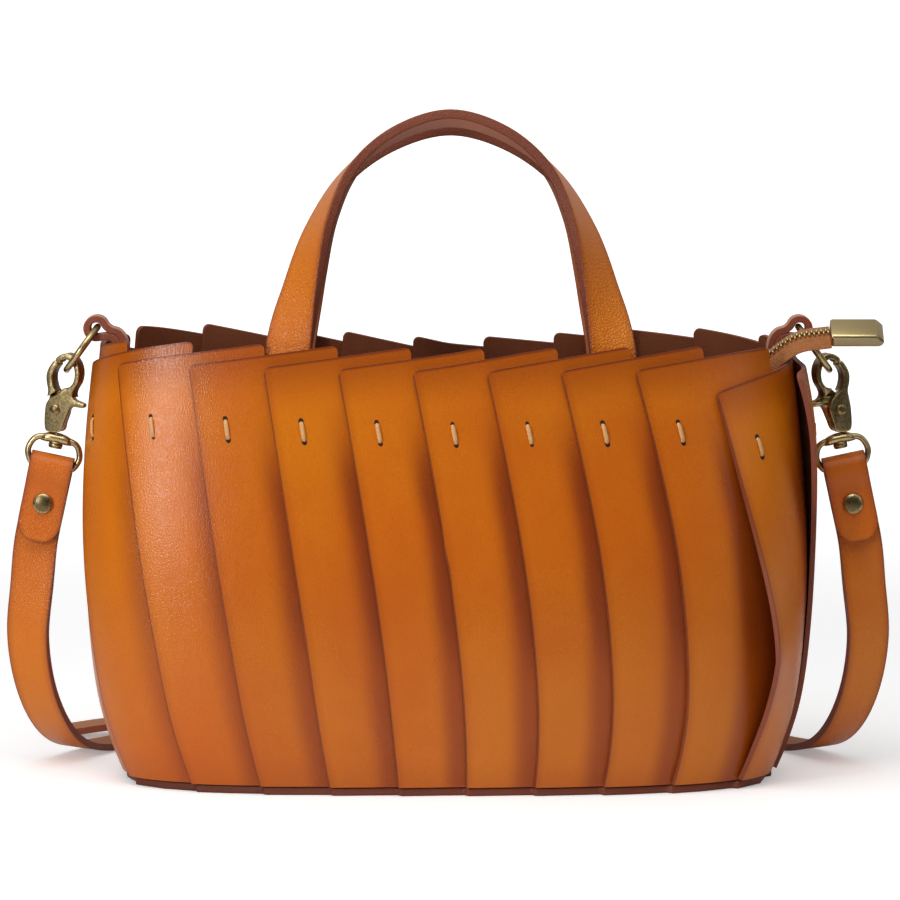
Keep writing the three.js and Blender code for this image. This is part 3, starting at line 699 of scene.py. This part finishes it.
# Tabs and rings
# A short leather strip is folded into a loop at each end of the rim, its two tails glued inside the wall.
# A round ring of cast brass hangs in the loop, with an antique finish that is rubbed bright on its edges.
TAB_WIDTH = 0.009
TAB_LEATHER = 0.0029
TAB_EDGE_ROUND = 0.0005
TAB_STEPS = 90
TAB_COLUMNS = 6
TAB_LOOP = Vector((-0.1396, 0, 0.1794))
TAB_LOOP_RADIUS = 0.0038
TAB_LOOP_ANGLES = range(15, 256, 30)
TAB_INNER_LEG = (  # x, z, up from the foot
    (-0.12805, 0.150),
    (-0.12805, 0.166),
    (-0.12810, 0.1715),
    (-0.12910, 0.1755),
    (-0.13120, 0.1779),
    (-0.13390, 0.1788),
)
TAB_OUTER_LEG = (  # x, z, down to the foot
    (-0.13650, 0.1760),
    (-0.13400, 0.1760),
    (-0.13170, 0.1747),
    (-0.13080, 0.1715),
    (-0.13075, 0.164),
    (-0.13075, 0.150),
)
RING_RADIUS = 0.0106
RING_WIRE = 0.0013
RING_SIDES = 16
RING_STEPS = 56
RING_SLACK = 0.00055
RING_LEAN = math.radians(36)
WEAR_REACH = 0.45
# Pale pink: a painted sheen over the tabs' tan leather.
TAB_SHEEN_PINK = (0.56, 0.25, 0.16, 1)
BRASS_DARK = (0.070, 0.050, 0.022, 1)
BRASS = (0.165, 0.122, 0.056, 1)
BRASS_RUBBED = (0.560, 0.430, 0.210, 1)
ENDS = (("left", Matrix.Identity(4)), ("right", Matrix.Rotation(math.pi, 4, "Z")))


def mark_wear(target):
    """Stores how sharply each vertex stands out, for the rubbed edges."""
    wear = target.verts.layers.float.new("wear")
    for vertex in target.verts:
        angles = [edge.calc_face_angle_signed(0) for edge in vertex.link_edges if len(edge.link_faces) == 2]
        vertex[wear] = min(1, max(-1, sum(angles) / max(1, len(angles)) / WEAR_REACH))


def worn_part(tree):
    """How far the metal stands out, as mark_wear has stored it."""
    return add_node(tree, "ShaderNodeAttribute", attribute_name="wear").outputs["Fac"]


def antique_brass_material():
    """Dark in the hollows, faintly mottled on the faces, rubbed bright where the metal stands out."""
    material, tree, shader = new_material("antique_brass")
    wear = worn_part(tree)
    mottle = noise_node(tree, object_place(tree), 1300.0, 5.0)
    speck = noise_node(tree, object_place(tree), 3000.0)
    colour = blend_colour(tree, ramp(tree, mottle, 0.15, 0.50), BRASS_DARK, BRASS)
    hollow = ramp(tree, wear, -0.05, -0.5)
    colour = blend_colour(tree, hollow, colour, darker(BRASS_DARK, 0.6))
    rubbed = ramp(tree, math_node(tree, "MULTIPLY_ADD", mottle, 0.5, wear), 0.42, 0.85)
    dull = math_node(tree, "MULTIPLY_ADD", speck, 0.2, 0.27)
    fill_sockets(tree, shader, {
        "Base Color": blend_colour(tree, rubbed, colour, BRASS_RUBBED),
        "Roughness": math_node(tree, "SUBTRACT", dull, math_node(tree, "MULTIPLY", rubbed, 0.08)),
        "Normal": bump_node(tree, speck, 0.15, 0.0001),
        "Metallic": 1.0,
    })
    return material


antique_brass = antique_brass_material()


def finish_brass(name, target, turn=Matrix.Identity(4), body="bag", metal=antique_brass, has_solid=True):
    """Turns a fitting to its end of the bag, marks its wear, and sets it in its solid's place."""
    bmesh.ops.transform(target, matrix=turn, verts=target.verts)
    bmesh.ops.recalc_face_normals(target, faces=target.faces)
    mark_wear(target)
    nodes = (name,) if has_solid else ()
    finish_piece(f"brass_{name}", target, (metal,), body, "antique_brass", *nodes)


# The tabs' pale pink holds a painted sheen.
tab_leather = leather("tab_leather", TAB_SHEEN_PINK, darker(TAB_SHEEN_PINK, 0.75), 0.5)
tab_sides = (tab_leather, tab_leather, cut_edge)
spokes = [Vector((math.cos(math.radians(a)), 0, math.sin(math.radians(a)))) for a in TAB_LOOP_ANGLES]
tab_path = [Vector((x, 0, z)) for x, z in TAB_INNER_LEG]
tab_path += [TAB_LOOP + TAB_LOOP_RADIUS * spoke for spoke in spokes]
tab_path += [Vector((x, 0, z)) for x, z in TAB_OUTER_LEG]
tab_rows = [(place, Vector((0, 1, 0))) for place in tab_path]
ring_way = Vector((-math.sin(RING_LEAN), 0, -math.cos(RING_LEAN)))
ring_centre = TAB_LOOP + (RING_RADIUS - RING_SLACK) * ring_way
for side, turn in ENDS:
    tab = strip_sheet(tab_rows, TAB_WIDTH, TAB_STEPS, TAB_COLUMNS)
    bmesh.ops.transform(tab, matrix=turn, verts=tab.verts)
    piece = finish_piece(f"leather_{side}_tab", tab, tab_sides, "bag", "strap_leather", f"{side}_tab")
    thicken(piece, TAB_LEATHER, 0, TAB_EDGE_ROUND)
    ring = bmesh.new()
    upright = Matrix.Translation((RING_RADIUS, 0, 0)) @ Matrix.Rotation(math.pi / 2, 4, "X")
    bmesh.ops.create_circle(ring, cap_ends=False, segments=RING_SIDES, radius=RING_WIRE, matrix=upright)
    bmesh.ops.spin(ring, geom=ring.verts[:] + ring.edges[:], cent=(0, 0, 0), axis=(0, 0, 1),
                   angle=2 * math.pi, steps=RING_STEPS, use_merge=True)
    bmesh.ops.remove_doubles(ring, verts=ring.verts, dist=1e-6)
    lean = Matrix.Rotation(RING_LEAN + math.pi / 2, 4, "Y")
    bmesh.ops.transform(ring, matrix=Matrix.Translation(ring_centre) @ lean, verts=ring.verts)
    finish_brass(f"{side}_ring", ring, turn)


# Trigger hooks
# Two brass castings lie side by side on one rivet: the body with the outer arm, and a sprung lever with the
# inner arm and a thumb tab. Under the body a swivel eye turns on its post.
HOOK_WIRE_SEAT = Vector((0.0037, 0, 0.0018))
HOOK_PLACE = ring_centre + RING_RADIUS * ring_way - HOOK_WIRE_SEAT
HOOK_THICKNESS = 0.0064
HOOK_YAW = {"left": math.radians(-18), "right": math.radians(18)}
LEVER_SIDE_GAP = 0.0004
HOOK_PIVOT = Vector((0, 0, -0.0138))
PIVOT_CAP = 0.0021
PIVOT_DOME = 0.0012
RIVET_PROUD = 0.0002
RIVET_RIM = 0.0003
RIVET_SHANK = 0.35
RIVET_STEPS = 32
HOOK_ROUND = 0.0008
EYE_TILT = math.radians(12)
EYE_PLACE = HOOK_PLACE + Vector((0, 0, -0.0238))
EYE_HEIGHT = 0.0145
EYE_WIRE = 0.0025
EYE_HALF_WIDTH = 0.0116
EYE_REACH = EYE_HALF_WIDTH - EYE_WIRE / 2
EYE_FOOT = -EYE_HEIGHT + EYE_WIRE / 2
EYE_BOW = (  # x, z of its right half, down from the boss
    (0.0045, -0.0019),
    (0.0085, -0.0034),
    (EYE_REACH, -0.0075),
    (EYE_REACH - 0.0004, EYE_FOOT + 0.003),
    (EYE_REACH - 0.0025, EYE_FOOT),
)
EYE_ARCH = ((-0.0064, -0.0032), (-0.0032, -0.0020), (0.0032, -0.0020), (0.0064, -0.0032))
EYE_ARCH_RADII = (0.0007, 0.0018, 0.0021, 0.0021, 0.0018, 0.0007)
EYE_POST = (  # heights and radii of its head and its neck
    ((-0.0058, -0.0046, -0.0034), (0.0026, 0.0029, 0.0026)),
    ((-0.0012, -0.0005, 0.0002), (0.0020, 0.0020, 0.0020)),
)
MILLIMETRE = 0.001
OUTLINE_STEPS = 5
BODY_OUTLINE = (  # x from the hook's upright axis, z from the ring's seat, in millimetres
    (1.5, 4.3), (0.1, 5.7), (-2, 3.6), (-3.5, 0.4), (-3.6, -2.6), (-3, -6.4), (-3.6, -9.4), (-4.4, -13.6),
    (-4.6, -21.4), (-3.6, -22.6), (2, -22.6), (3.2, -19.4), (4.9, -14.4), (4.6, -11.4), (2.8, -8.4),
    (0.4, -6), (-0.6, -3.2), (-0.8, -0.4), (0, 2),
)
LEVER_SIDE = ((-7, -25), (8, -25), (8, -3.6), (3.4, -4.4), (1.4, -5.4), (-0.4, -7), (-2.8, -8.4), (-7, -10))
LEVER_OUTLINE = (
    (1.9, 4.8), (0.5, 6.2), (2.2, 7.8), (5, 8.6), (7.8, 7.4), (9.9, 4.4), (10.6, 0.8), (9.9, -3),
    (8, -6.2), (7.6, -8.2), (8.6, -9.8), (11, -10.8), (12.4, -11.5), (12.4, -12.5), (11.6, -13.1),
    (9.2, -12.8), (6.9, -13), (4.4, -17.6), (1.8, -22.6), (-3.6, -22.6), (-4.4, -21.4), (-4.2, -13.4),
    (-3.6, -11.2), (-2.4, -9.7), (0.1, -8.2), (3.8, -5.4), (5.6, -5.2), (7.6, -3.4), (8.5, -0.6),
    (8.3, 2.6), (6.9, 5.2), (4.9, 6.2), (3.2, 5.9),
)
BODY_SIDE = ((-7, -25), (15, -25), (15, -9.4), (7.4, -9), (5.6, -7.2), (3.6, -5), (-7, -4))


def cast_plate(outline, smooth=True):
    """A plate in the XZ plane, as thick as a hook; a smooth one has a curved outline and round rims."""
    corners = [MILLIMETRE * Vector((x, 0, z)) for x, z in outline]
    if smooth:
        count = OUTLINE_STEPS * len(corners)
        corners = [smooth_path(corners, i / count, True) for i in range(count)]
    plate = bmesh.new()
    plate.faces.new([plate.verts.new(place - Vector((0, HOOK_THICKNESS / 2, 0))) for place in corners])
    pulled = bmesh.ops.extrude_face_region(plate, geom=plate.faces[:])
    moved = [item for item in pulled["geom"] if isinstance(item, bmesh.types.BMVert)]
    bmesh.ops.translate(plate, vec=(0, HOOK_THICKNESS, 0), verts=moved)
    bmesh.ops.recalc_face_normals(plate, faces=plate.faces)
    if smooth:
        rims = [edge for edge in plate.edges if any(len(face.verts) > 4 for face in edge.link_faces)]
        round_edges(plate, rims, HOOK_ROUND, 4)
    return plate


def turned_rivet(place, grip, cap, height):
    """A rivet across the strap or the hook, with a low dome at both ends, spun about its axis."""
    rivet = bmesh.new()
    half = grip / 2
    angles = [math.radians(a) for a in range(0, 91, 15)]
    dome = [(cap * math.sin(a), half + RIVET_RIM + (height - RIVET_RIM) * math.cos(a)) for a in angles]
    profile = dome + [(cap, half), (RIVET_SHANK * cap, half)]
    profile = profile + [(r, -h) for r, h in reversed(profile)]
    points = [rivet.verts.new((r, 0, h)) for r, h in profile]
    edges = [rivet.edges.new(pair) for pair in zip(points, points[1:])]
    bmesh.ops.spin(rivet, geom=points + edges, cent=(0, 0, 0), axis=(0, 0, 1), angle=2 * math.pi,
                   steps=RIVET_STEPS, use_merge=True)
    bmesh.ops.remove_doubles(rivet, verts=rivet.verts, dist=1e-6)
    turned = Matrix.Translation(place) @ Matrix.Rotation(math.pi / 2, 4, "X")
    bmesh.ops.transform(rivet, matrix=turned, verts=rivet.verts)
    return rivet


def half_taken(casting, outline, side):
    """A casting with one half of its thickness taken away inside an outline."""
    cutter = cast_plate(outline, smooth=False)
    shift = side * (HOOK_THICKNESS - LEVER_SIDE_GAP) / 2
    bmesh.ops.translate(cutter, vec=(0, shift, 0), verts=cutter.verts)
    whole = add_object("hook_casting", casting)
    taken = add_object("hook_half", cutter)
    boolean = whole.modifiers.new("half", "BOOLEAN")
    boolean.operation = "DIFFERENCE"
    boolean.solver = "EXACT"
    boolean.object = taken
    result = bmesh.new()
    result.from_mesh(whole.evaluated_get(bpy.context.evaluated_depsgraph_get()).to_mesh())
    for item in (whole, taken):
        bpy.data.objects.remove(item)
    return result


def swivel_eye():
    """A D of wire under an arched boss, with the post's round head below and its neck above."""
    eye = bmesh.new()
    wire = EYE_WIRE / 2
    bow = [*EYE_BOW, (0, EYE_FOOT), *((-x, z) for x, z in reversed(EYE_BOW))]
    add_rod(eye, [Vector((x, 0, z)) for x, z in bow], (wire, wire), 88, 14, closed=True, flat=1.1)
    add_rod(eye, [Vector((x, 0, z)) for x, z in EYE_ARCH], EYE_ARCH_RADII, 24, 16, flat=1.3)
    for heights, radii in EYE_POST:
        add_rod(eye, [Vector((0, 0, z)) for z in heights], radii, 8, 22)
    return eye


for side, turn in ENDS:
    hook_turn = turn @ Matrix.Translation(HOOK_PLACE) @ Matrix.Rotation(HOOK_YAW[side], 4, "Z")
    body = half_taken(cast_plate(BODY_OUTLINE), LEVER_SIDE, -1)
    finish_brass(f"{side}_hook_body", body, hook_turn)
    lever = half_taken(cast_plate(LEVER_OUTLINE), BODY_SIDE, 1)
    finish_brass(f"{side}_hook_lever", lever, hook_turn, f"{side}_lever")
    pivot = turned_rivet(HOOK_PIVOT, HOOK_THICKNESS + RIVET_PROUD, PIVOT_CAP, PIVOT_DOME)
    finish_brass(f"{side}_hook_rivet", pivot, hook_turn)
    eye_turn = turn @ Matrix.Translation(EYE_PLACE) @ Matrix.Rotation(EYE_TILT, 4, "Y")
    finish_brass(f"{side}_swivel_eye", swivel_eye(), eye_turn)


# Shoulder strap
# Two straps of single leather are folded round the hooks' eyes and riveted, with the dyed side out on both
# layers of the fold. They hang beside the bag, lie behind it, and are joined there by a plain brass buckle.
STRAP_WIDTH = 0.0172
STRAP_LEATHER = 0.0028
STRAP_EDGE_ROUND = 0.0007
STRAP_STEPS = 260
STRAP_COLUMNS = 8
STRAP_FLAP = 0.031
FOLD_HALF_GAP = 0.00175
FOLD_TOP = 0.0055
HANG_WAY = Vector((-math.sin(EYE_TILT), 0, -math.cos(EYE_TILT)))
HANG_ACROSS = Vector((math.cos(EYE_TILT), 0, -math.sin(EYE_TILT)))
BAR_PLACE = EYE_PLACE + (EYE_HEIGHT - EYE_WIRE / 2) * HANG_WAY
STRAP_RIVET_DOWN = 0.015
STRAP_RIVET_CAP = 0.0042
STRAP_RIVET_DOME = 0.0018
RIVET_GRIP = 2 * FOLD_HALF_GAP + STRAP_LEATHER + RIVET_PROUD
BUCKLE_ROUND = 0.0008
FOLD_FRONT = (  # down from the eye's bar, y, up the flap
    (STRAP_FLAP, -FOLD_HALF_GAP),
    (0.0150, -FOLD_HALF_GAP),
    (0.0080, -0.0022),
    (0.0025, -0.0033),
    (-0.0022, -0.0026),
)
FOLD_CREST = (-0.0036, 0.0)
STRAP_FOLD = (*FOLD_FRONT, FOLD_CREST, *((down, -y) for down, y in reversed(FOLD_FRONT)))
STRAP_HANG = (  # x, y, z, across x, across y
    (-0.1664, 0.0025, 0.0770, 0.96, -0.20),
    (-0.1684, 0.0050, 0.0560, 0.93, -0.32),
    (-0.1666, 0.0100, 0.0370, 0.90, -0.40),
    (-0.1620, 0.0210, 0.0200, 0.87, -0.45),
    (-0.1555, 0.0380, 0.0080, 0.82, -0.55),
    (-0.1460, 0.0580, 0.0024, 0.72, -0.70),
    (-0.1300, 0.0800, 0.0017, 0.60, -0.80),
    (-0.1080, 0.0970, 0.0017, 0.42, -0.90),
    (-0.0800, 0.1080, 0.0019, 0.22, -0.97),
)
SHORT_END = (
    (-0.0540, 0.1130, 0.0034, 0.10, -1.0),
    (-0.0240, 0.1150, 0.0037, 0.00, -1.0),
)
LONG_END = (
    (-0.0400, 0.1140, 0.0018, 0.10, -1.0),
    (-0.0060, 0.1160, 0.0024, 0.00, -1.0),
    (0.0200, 0.1154, 0.0070, 0.00, -1.0),
    (0.0440, 0.1140, 0.0072, 0.00, -1.0),
    (0.0780, 0.1120, 0.0058, -0.10, -1.0),
    (0.1100, 0.1060, 0.0054, -0.20, -0.97),
    (0.1400, 0.1000, 0.0050, -0.20, -0.97),
    (0.1660, 0.0950, 0.0020, -0.20, -0.97),
)
STRAP_FLESH = (0.52, 0.22, 0.10, 1)

strap_leather = leather("strap_leather", TAN_LIGHT, TAN_DEEP, 0.36, strip_burnish)
strap_flesh = leather("strap_flesh", STRAP_FLESH, darker(STRAP_FLESH, 0.6), 0.85,
                      cell=FLESH_NAP, relief=FLESH_RELIEF)
hanging_sides = (strap_leather, strap_flesh, cut_edge)
flap_sides = (strap_flesh, strap_leather, cut_edge)
for node, side, end in (("strap_left", -1, SHORT_END), ("strap_right", 1, LONG_END)):
    rows = []
    for down, y in STRAP_FOLD:
        at = BAR_PLACE + down * HANG_WAY
        rows.append((Vector((-side * at.x, y, at.z)), Vector((-side * HANG_ACROSS.x, 0, HANG_ACROSS.z))))
    for x, y, z, across_x, across_y in STRAP_HANG + end:
        rows.append((Vector((-side * x, y, z)), Vector((-side * across_x, across_y, 0))))
    strap = strip_sheet(rows, STRAP_WIDTH, STRAP_STEPS, STRAP_COLUMNS, round_ends=True)
    if side > 0:
        bmesh.ops.reverse_faces(strap, faces=strap.faces)
    along = strap.loops.layers.uv.active
    for face in strap.faces:
        if max(loop[along].uv.x for loop in face.loops) < STRAP_FLAP + FOLD_TOP:
            face.material_index = len(hanging_sides)
    piece = finish_piece(f"leather_{node}", strap, hanging_sides + flap_sides, "bag", "strap_leather", node)
    thicken(piece, STRAP_LEATHER, 0, STRAP_EDGE_ROUND)
strap_rivet_place = BAR_PLACE + STRAP_RIVET_DOWN * HANG_WAY
for side, turn in ENDS:
    cap = turned_rivet(strap_rivet_place, RIVET_GRIP, STRAP_RIVET_CAP, STRAP_RIVET_DOME)
    finish_brass(f"{side}_strap_rivet", cap, turn)
finish_brass("strap_buckle", rounded_copy("strap_buckle", BUCKLE_ROUND))


# Zip
# Two woven tapes lie open along the walls inside the mouth and meet at the slider. The closed tail comes
# out over the right end of the rim, with brass teeth along its middle and a satin brass cap on its end.
TAPE_THICKNESS = 0.001
TAPE_EDGE_ROUND = 0.0003
TAPE_WIDTH = 0.010
TAPE_STEPS = 120
TAPE_COLUMNS = 6
TAIL_WIDTH = 0.0126
TAIL_STEPS = 60
TAIL_COLUMNS = 12
TAIL_DROOP = 0.0026
TAIL_ROWS = (  # x, y, z, across y, across z
    (0.101, -0.0065, 0.1485, -0.30, -0.95),
    (0.112, -0.0100, 0.1570, -0.60, -0.80),
    (0.125, -0.0145, 0.1676, -0.75, -0.66),
    (0.137, -0.0175, 0.1764, -0.80, -0.60),
    (0.1504, -0.0185, 0.1788, -0.80, -0.60),
)
SIDE_START = (
    (0.086, -0.004, 0.1460),
    (0.072, -0.012, 0.1450),
    (0.056, -0.029, 0.1435),
    (0.034, -0.042, 0.1430),
)
SIDE_WAYS = (0.2, -1, -2, -3, -4, -4.8)
SIDE_HEIGHT = 0.143
SIDE_INSET = 0.0019
TOOTH_PITCH = 0.00105
TOOTH = Vector((0.0008, 0.0019, 0.0014))
TOOTH_ROUND = 0.00018
TOOTH_STAGGER = 0.0007
ROW_SAMPLES = 200
SLIDER_ROUND = 0.0012
END_CAP_ROUND = 0.0006
TAPE_TAN = (0.50, 0.175, 0.050, 1)
SATIN_BRASS = (0.25, 0.200, 0.125, 1)


def tape_material():
    """A twill tape: slanted ribs that follow the tape, with painted shade between the ribs and uneven
    darker patches.
    """
    material, tree, shader = new_material("zip_tape")
    slanted = {"Vector": surface_place(tree), "Scale": (1, 0.006, 1), "Rotation": (0, 0, 0.7)}
    turned = add_node(tree, "ShaderNodeMapping", slanted).outputs[0]
    ribs = {"Vector": turned, "Scale": 420.0, "Distortion": 0.6}
    twill = add_node(tree, "ShaderNodeTexWave", ribs).outputs[0]
    uneven = noise_node(tree, object_place(tree), 900.0)
    thread = math_node(tree, "MULTIPLY", twill, ramp(tree, uneven, 0.2, 0.6))
    fill_sockets(tree, shader, {
        "Base Color": blend_colour(tree, thread, darker(TAPE_TAN, 0.6), TAPE_TAN),
        "Roughness": 0.9,
        "Normal": bump_node(tree, thread, 0.6, 0.0002),
        "Sheen Weight": 0.15,
    })
    return material


def satin_brass_material():
    """Smooth plated brass with a fine brushed grain."""
    material, tree, shader = new_material("satin_brass")
    along = {"Vector": object_place(tree), "Scale": (1, 6, 6)}
    brushed = noise_node(tree, add_node(tree, "ShaderNodeMapping", along).outputs[0], 500.0, 3.0)
    colour = blend_colour(tree, brushed, darker(SATIN_BRASS, 0.8), SATIN_BRASS)
    fill_sockets(tree, shader, {
        "Base Color": blend_colour(tree, ramp(tree, worn_part(tree), 0.1, 0.6), colour, BRASS_RUBBED),
        "Roughness": math_node(tree, "MULTIPLY_ADD", brushed, 0.12, 0.24),
        "Metallic": 1.0,
    })
    return material


zip_tape = tape_material()
satin_brass = satin_brass_material()


def tooth_row(rows, pitch, stagger, lift):
    """Small brass teeth along a strip, set to one side and the other in turn."""
    places, sides = zip(*rows)
    count = int(path_lengths(places, ROW_SAMPLES)[-1] / pitch)
    teeth = bmesh.new()
    for i in range(count):
        middle, way, side = strip_place(places, sides, (i + 0.5) / count)
        up = way.cross(side)
        at = middle + lift * up + (stagger if i % 2 else -stagger) * side
        turned = Matrix((way, side, up)).transposed().to_4x4()
        sized = Matrix.Diagonal((*TOOTH, 1))
        bmesh.ops.create_cube(teeth, size=1, matrix=Matrix.Translation(at) @ turned @ sized)
    round_edges(teeth, teeth.edges[:], TOOTH_ROUND, 1)
    return teeth


for node, side in (("zip_tape_front", 1), ("zip_tape_back", -1)):
    walls = [tuple(wall_point(way, SIDE_HEIGHT, -SIDE_INSET)) for way in SIDE_WAYS]
    rows = [(Vector((x, side * y, z)), Vector((0, 0, 1))) for x, y, z in (*SIDE_START, *walls)]
    tape = strip_sheet(rows, TAPE_WIDTH, TAPE_STEPS, TAPE_COLUMNS)
    piece = finish_piece(f"cloth_{node}", tape, (zip_tape,), "bag", "zip_tape", node)
    thicken(piece, TAPE_THICKNESS, 0, TAPE_EDGE_ROUND)
    rim = [(at + Vector((0, 0, TAPE_WIDTH / 2 + TOOTH.y / 3)), across) for at, across in rows]
    finish_brass(f"{node}_teeth", tooth_row(rim, 2 * TOOTH_PITCH, 0, 0), has_solid=False)

tail_rows = [(Vector(row[:3]), Vector((0, *row[3:]))) for row in TAIL_ROWS]
tail = strip_sheet(tail_rows, TAIL_WIDTH, TAIL_STEPS, TAIL_COLUMNS, droop=TAIL_DROOP)
piece = finish_piece("cloth_zip_tail", tail, (zip_tape,), "bag", "zip_tape", "zip_tail")
thicken(piece, TAPE_THICKNESS, 0, TAPE_EDGE_ROUND)
closed_teeth = tooth_row(tail_rows[1:], TOOTH_PITCH, TOOTH_STAGGER, -(TAPE_THICKNESS + TOOTH.z) / 2)
finish_brass("zip_teeth", closed_teeth)
finish_brass("zip_slider", rounded_copy("zip_slider", SLIDER_ROUND))
finish_brass("zip_end_cap", rounded_copy("zip_end_cap", END_CAP_ROUND), metal=satin_brass)


# Floor, light and camera
# A plain white floor that runs out of sight, soft boxes at both sides and above, and a long lens that
# looks a little down on the bag from above its handles.
CAMERA_PLACE = Vector((0.0008, -2.0, 0.33))
CAMERA_TILT = math.radians(5.695)
CAMERA_LENS = 201.7
CAMERA_SENSOR = 36
LIGHTS = (  # name, place, looks at, width, height, watts
    ("left_box", (-0.56, -0.70, 0.28), (-0.08, 0, 0.13), 0.18, 0.28, 2.7),
    ("right_box", (1.1, -0.7, 0.6), (0.05, 0, 0.12), 0.4, 0.9, 1.0),
    ("top_box", (-0.2, -0.6, 1.25), (0, 0, 0.1), 1.2, 0.9, 9),
)
WORLD_LOW = 0.07
WORLD_HIGH = 0.50
OVERHEAD = (0.15, 0.85)
BEHIND = (-0.1, 0.5)
FLOOR_REACH = 30
FLOOR_GLOW_NEAR = 0.30
FLOOR_GLOW_FAR = 0.85
GLOW_FROM = 0.35
GLOW_TO = 1.6
FLOOR_WHITE = (0.92, 0.92, 0.92, 1)
FLOOR_UNSEEN = (0.10, 0.10, 0.10, 1)
UNSEEN_FROM = 0.25
UNSEEN_TO = 0.8
WHITE = (1, 1, 1, 1)

floor = bmesh.new()
bmesh.ops.create_grid(floor, x_segments=1, y_segments=1, size=FLOOR_REACH)
floor_piece = add_object("floor", floor)
floor_material, floor_tree, floor_shader = new_material("white_floor")
measured = {0: object_place(floor_tree)}
reach = add_node(floor_tree, "ShaderNodeVectorMath", measured, operation="LENGTH").outputs["Value"]
glow = math_node(floor_tree, "MULTIPLY_ADD", ramp(floor_tree, reach, GLOW_FROM, GLOW_TO),
                 FLOOR_GLOW_FAR - FLOOR_GLOW_NEAR, FLOOR_GLOW_NEAR)
seen = add_node(floor_tree, "ShaderNodeLightPath").outputs["Is Camera Ray"]
unseen = math_node(floor_tree, "SUBTRACT", ramp(floor_tree, reach, UNSEEN_FROM, UNSEEN_TO), seen)
unseen = math_node(floor_tree, "MAXIMUM", unseen, 0.0)
fill_sockets(floor_tree, floor_shader, {
    "Base Color": blend_colour(floor_tree, unseen, FLOOR_WHITE, FLOOR_UNSEEN),
    "Roughness": 0.9,
    "Specular IOR Level": 0.1,
    "Emission Color": WHITE,
    "Emission Strength": math_node(floor_tree, "MULTIPLY", glow, seen),
})
floor_piece.data.materials.append(floor_material)

for name, place, target, width, tall, watts in LIGHTS:
    lamp = bpy.data.lights.new(name, "AREA")
    lamp.shape = "RECTANGLE"
    lamp.size = width
    lamp.size_y = tall
    lamp.energy = watts
    holder = bpy.data.objects.new(name, lamp)
    holder.location = place
    holder.rotation_euler = (Vector(target) - Vector(place)).to_track_quat("-Z", "Y").to_euler()
    bpy.context.scene.collection.objects.link(holder)

world = bpy.data.worlds.new("studio")
bpy.context.scene.world = world
world.use_nodes = True
sky = world.node_tree
backdrop = next(node for node in sky.nodes if node.type == "BACKGROUND")
seen = add_node(sky, "ShaderNodeLightPath").outputs["Is Camera Ray"]
looks = split(sky, add_node(sky, "ShaderNodeTexCoord").outputs["Generated"])
bright = math_node(sky, "MAXIMUM", ramp(sky, looks["Z"], *OVERHEAD), ramp(sky, looks["Y"], *BEHIND))
soft = math_node(sky, "MULTIPLY_ADD", bright, WORLD_HIGH - WORLD_LOW, WORLD_LOW)
brightness = add_node(sky, "ShaderNodeMix", {0: seen, 2: soft, 3: 1.0}).outputs[0]
fill_sockets(sky, backdrop, {"Color": WHITE, "Strength": brightness})

camera_data = bpy.data.cameras.new("camera")
camera_data.lens = CAMERA_LENS
camera_data.sensor_width = CAMERA_SENSOR
camera = bpy.data.objects.new("camera", camera_data)
camera.location = CAMERA_PLACE
camera.rotation_euler = (math.pi / 2 - CAMERA_TILT, 0, 0)
bpy.context.scene.collection.objects.link(camera)
bpy.context.scene.camera = camera
bpy.context.scene.view_settings.view_transform = "Standard"
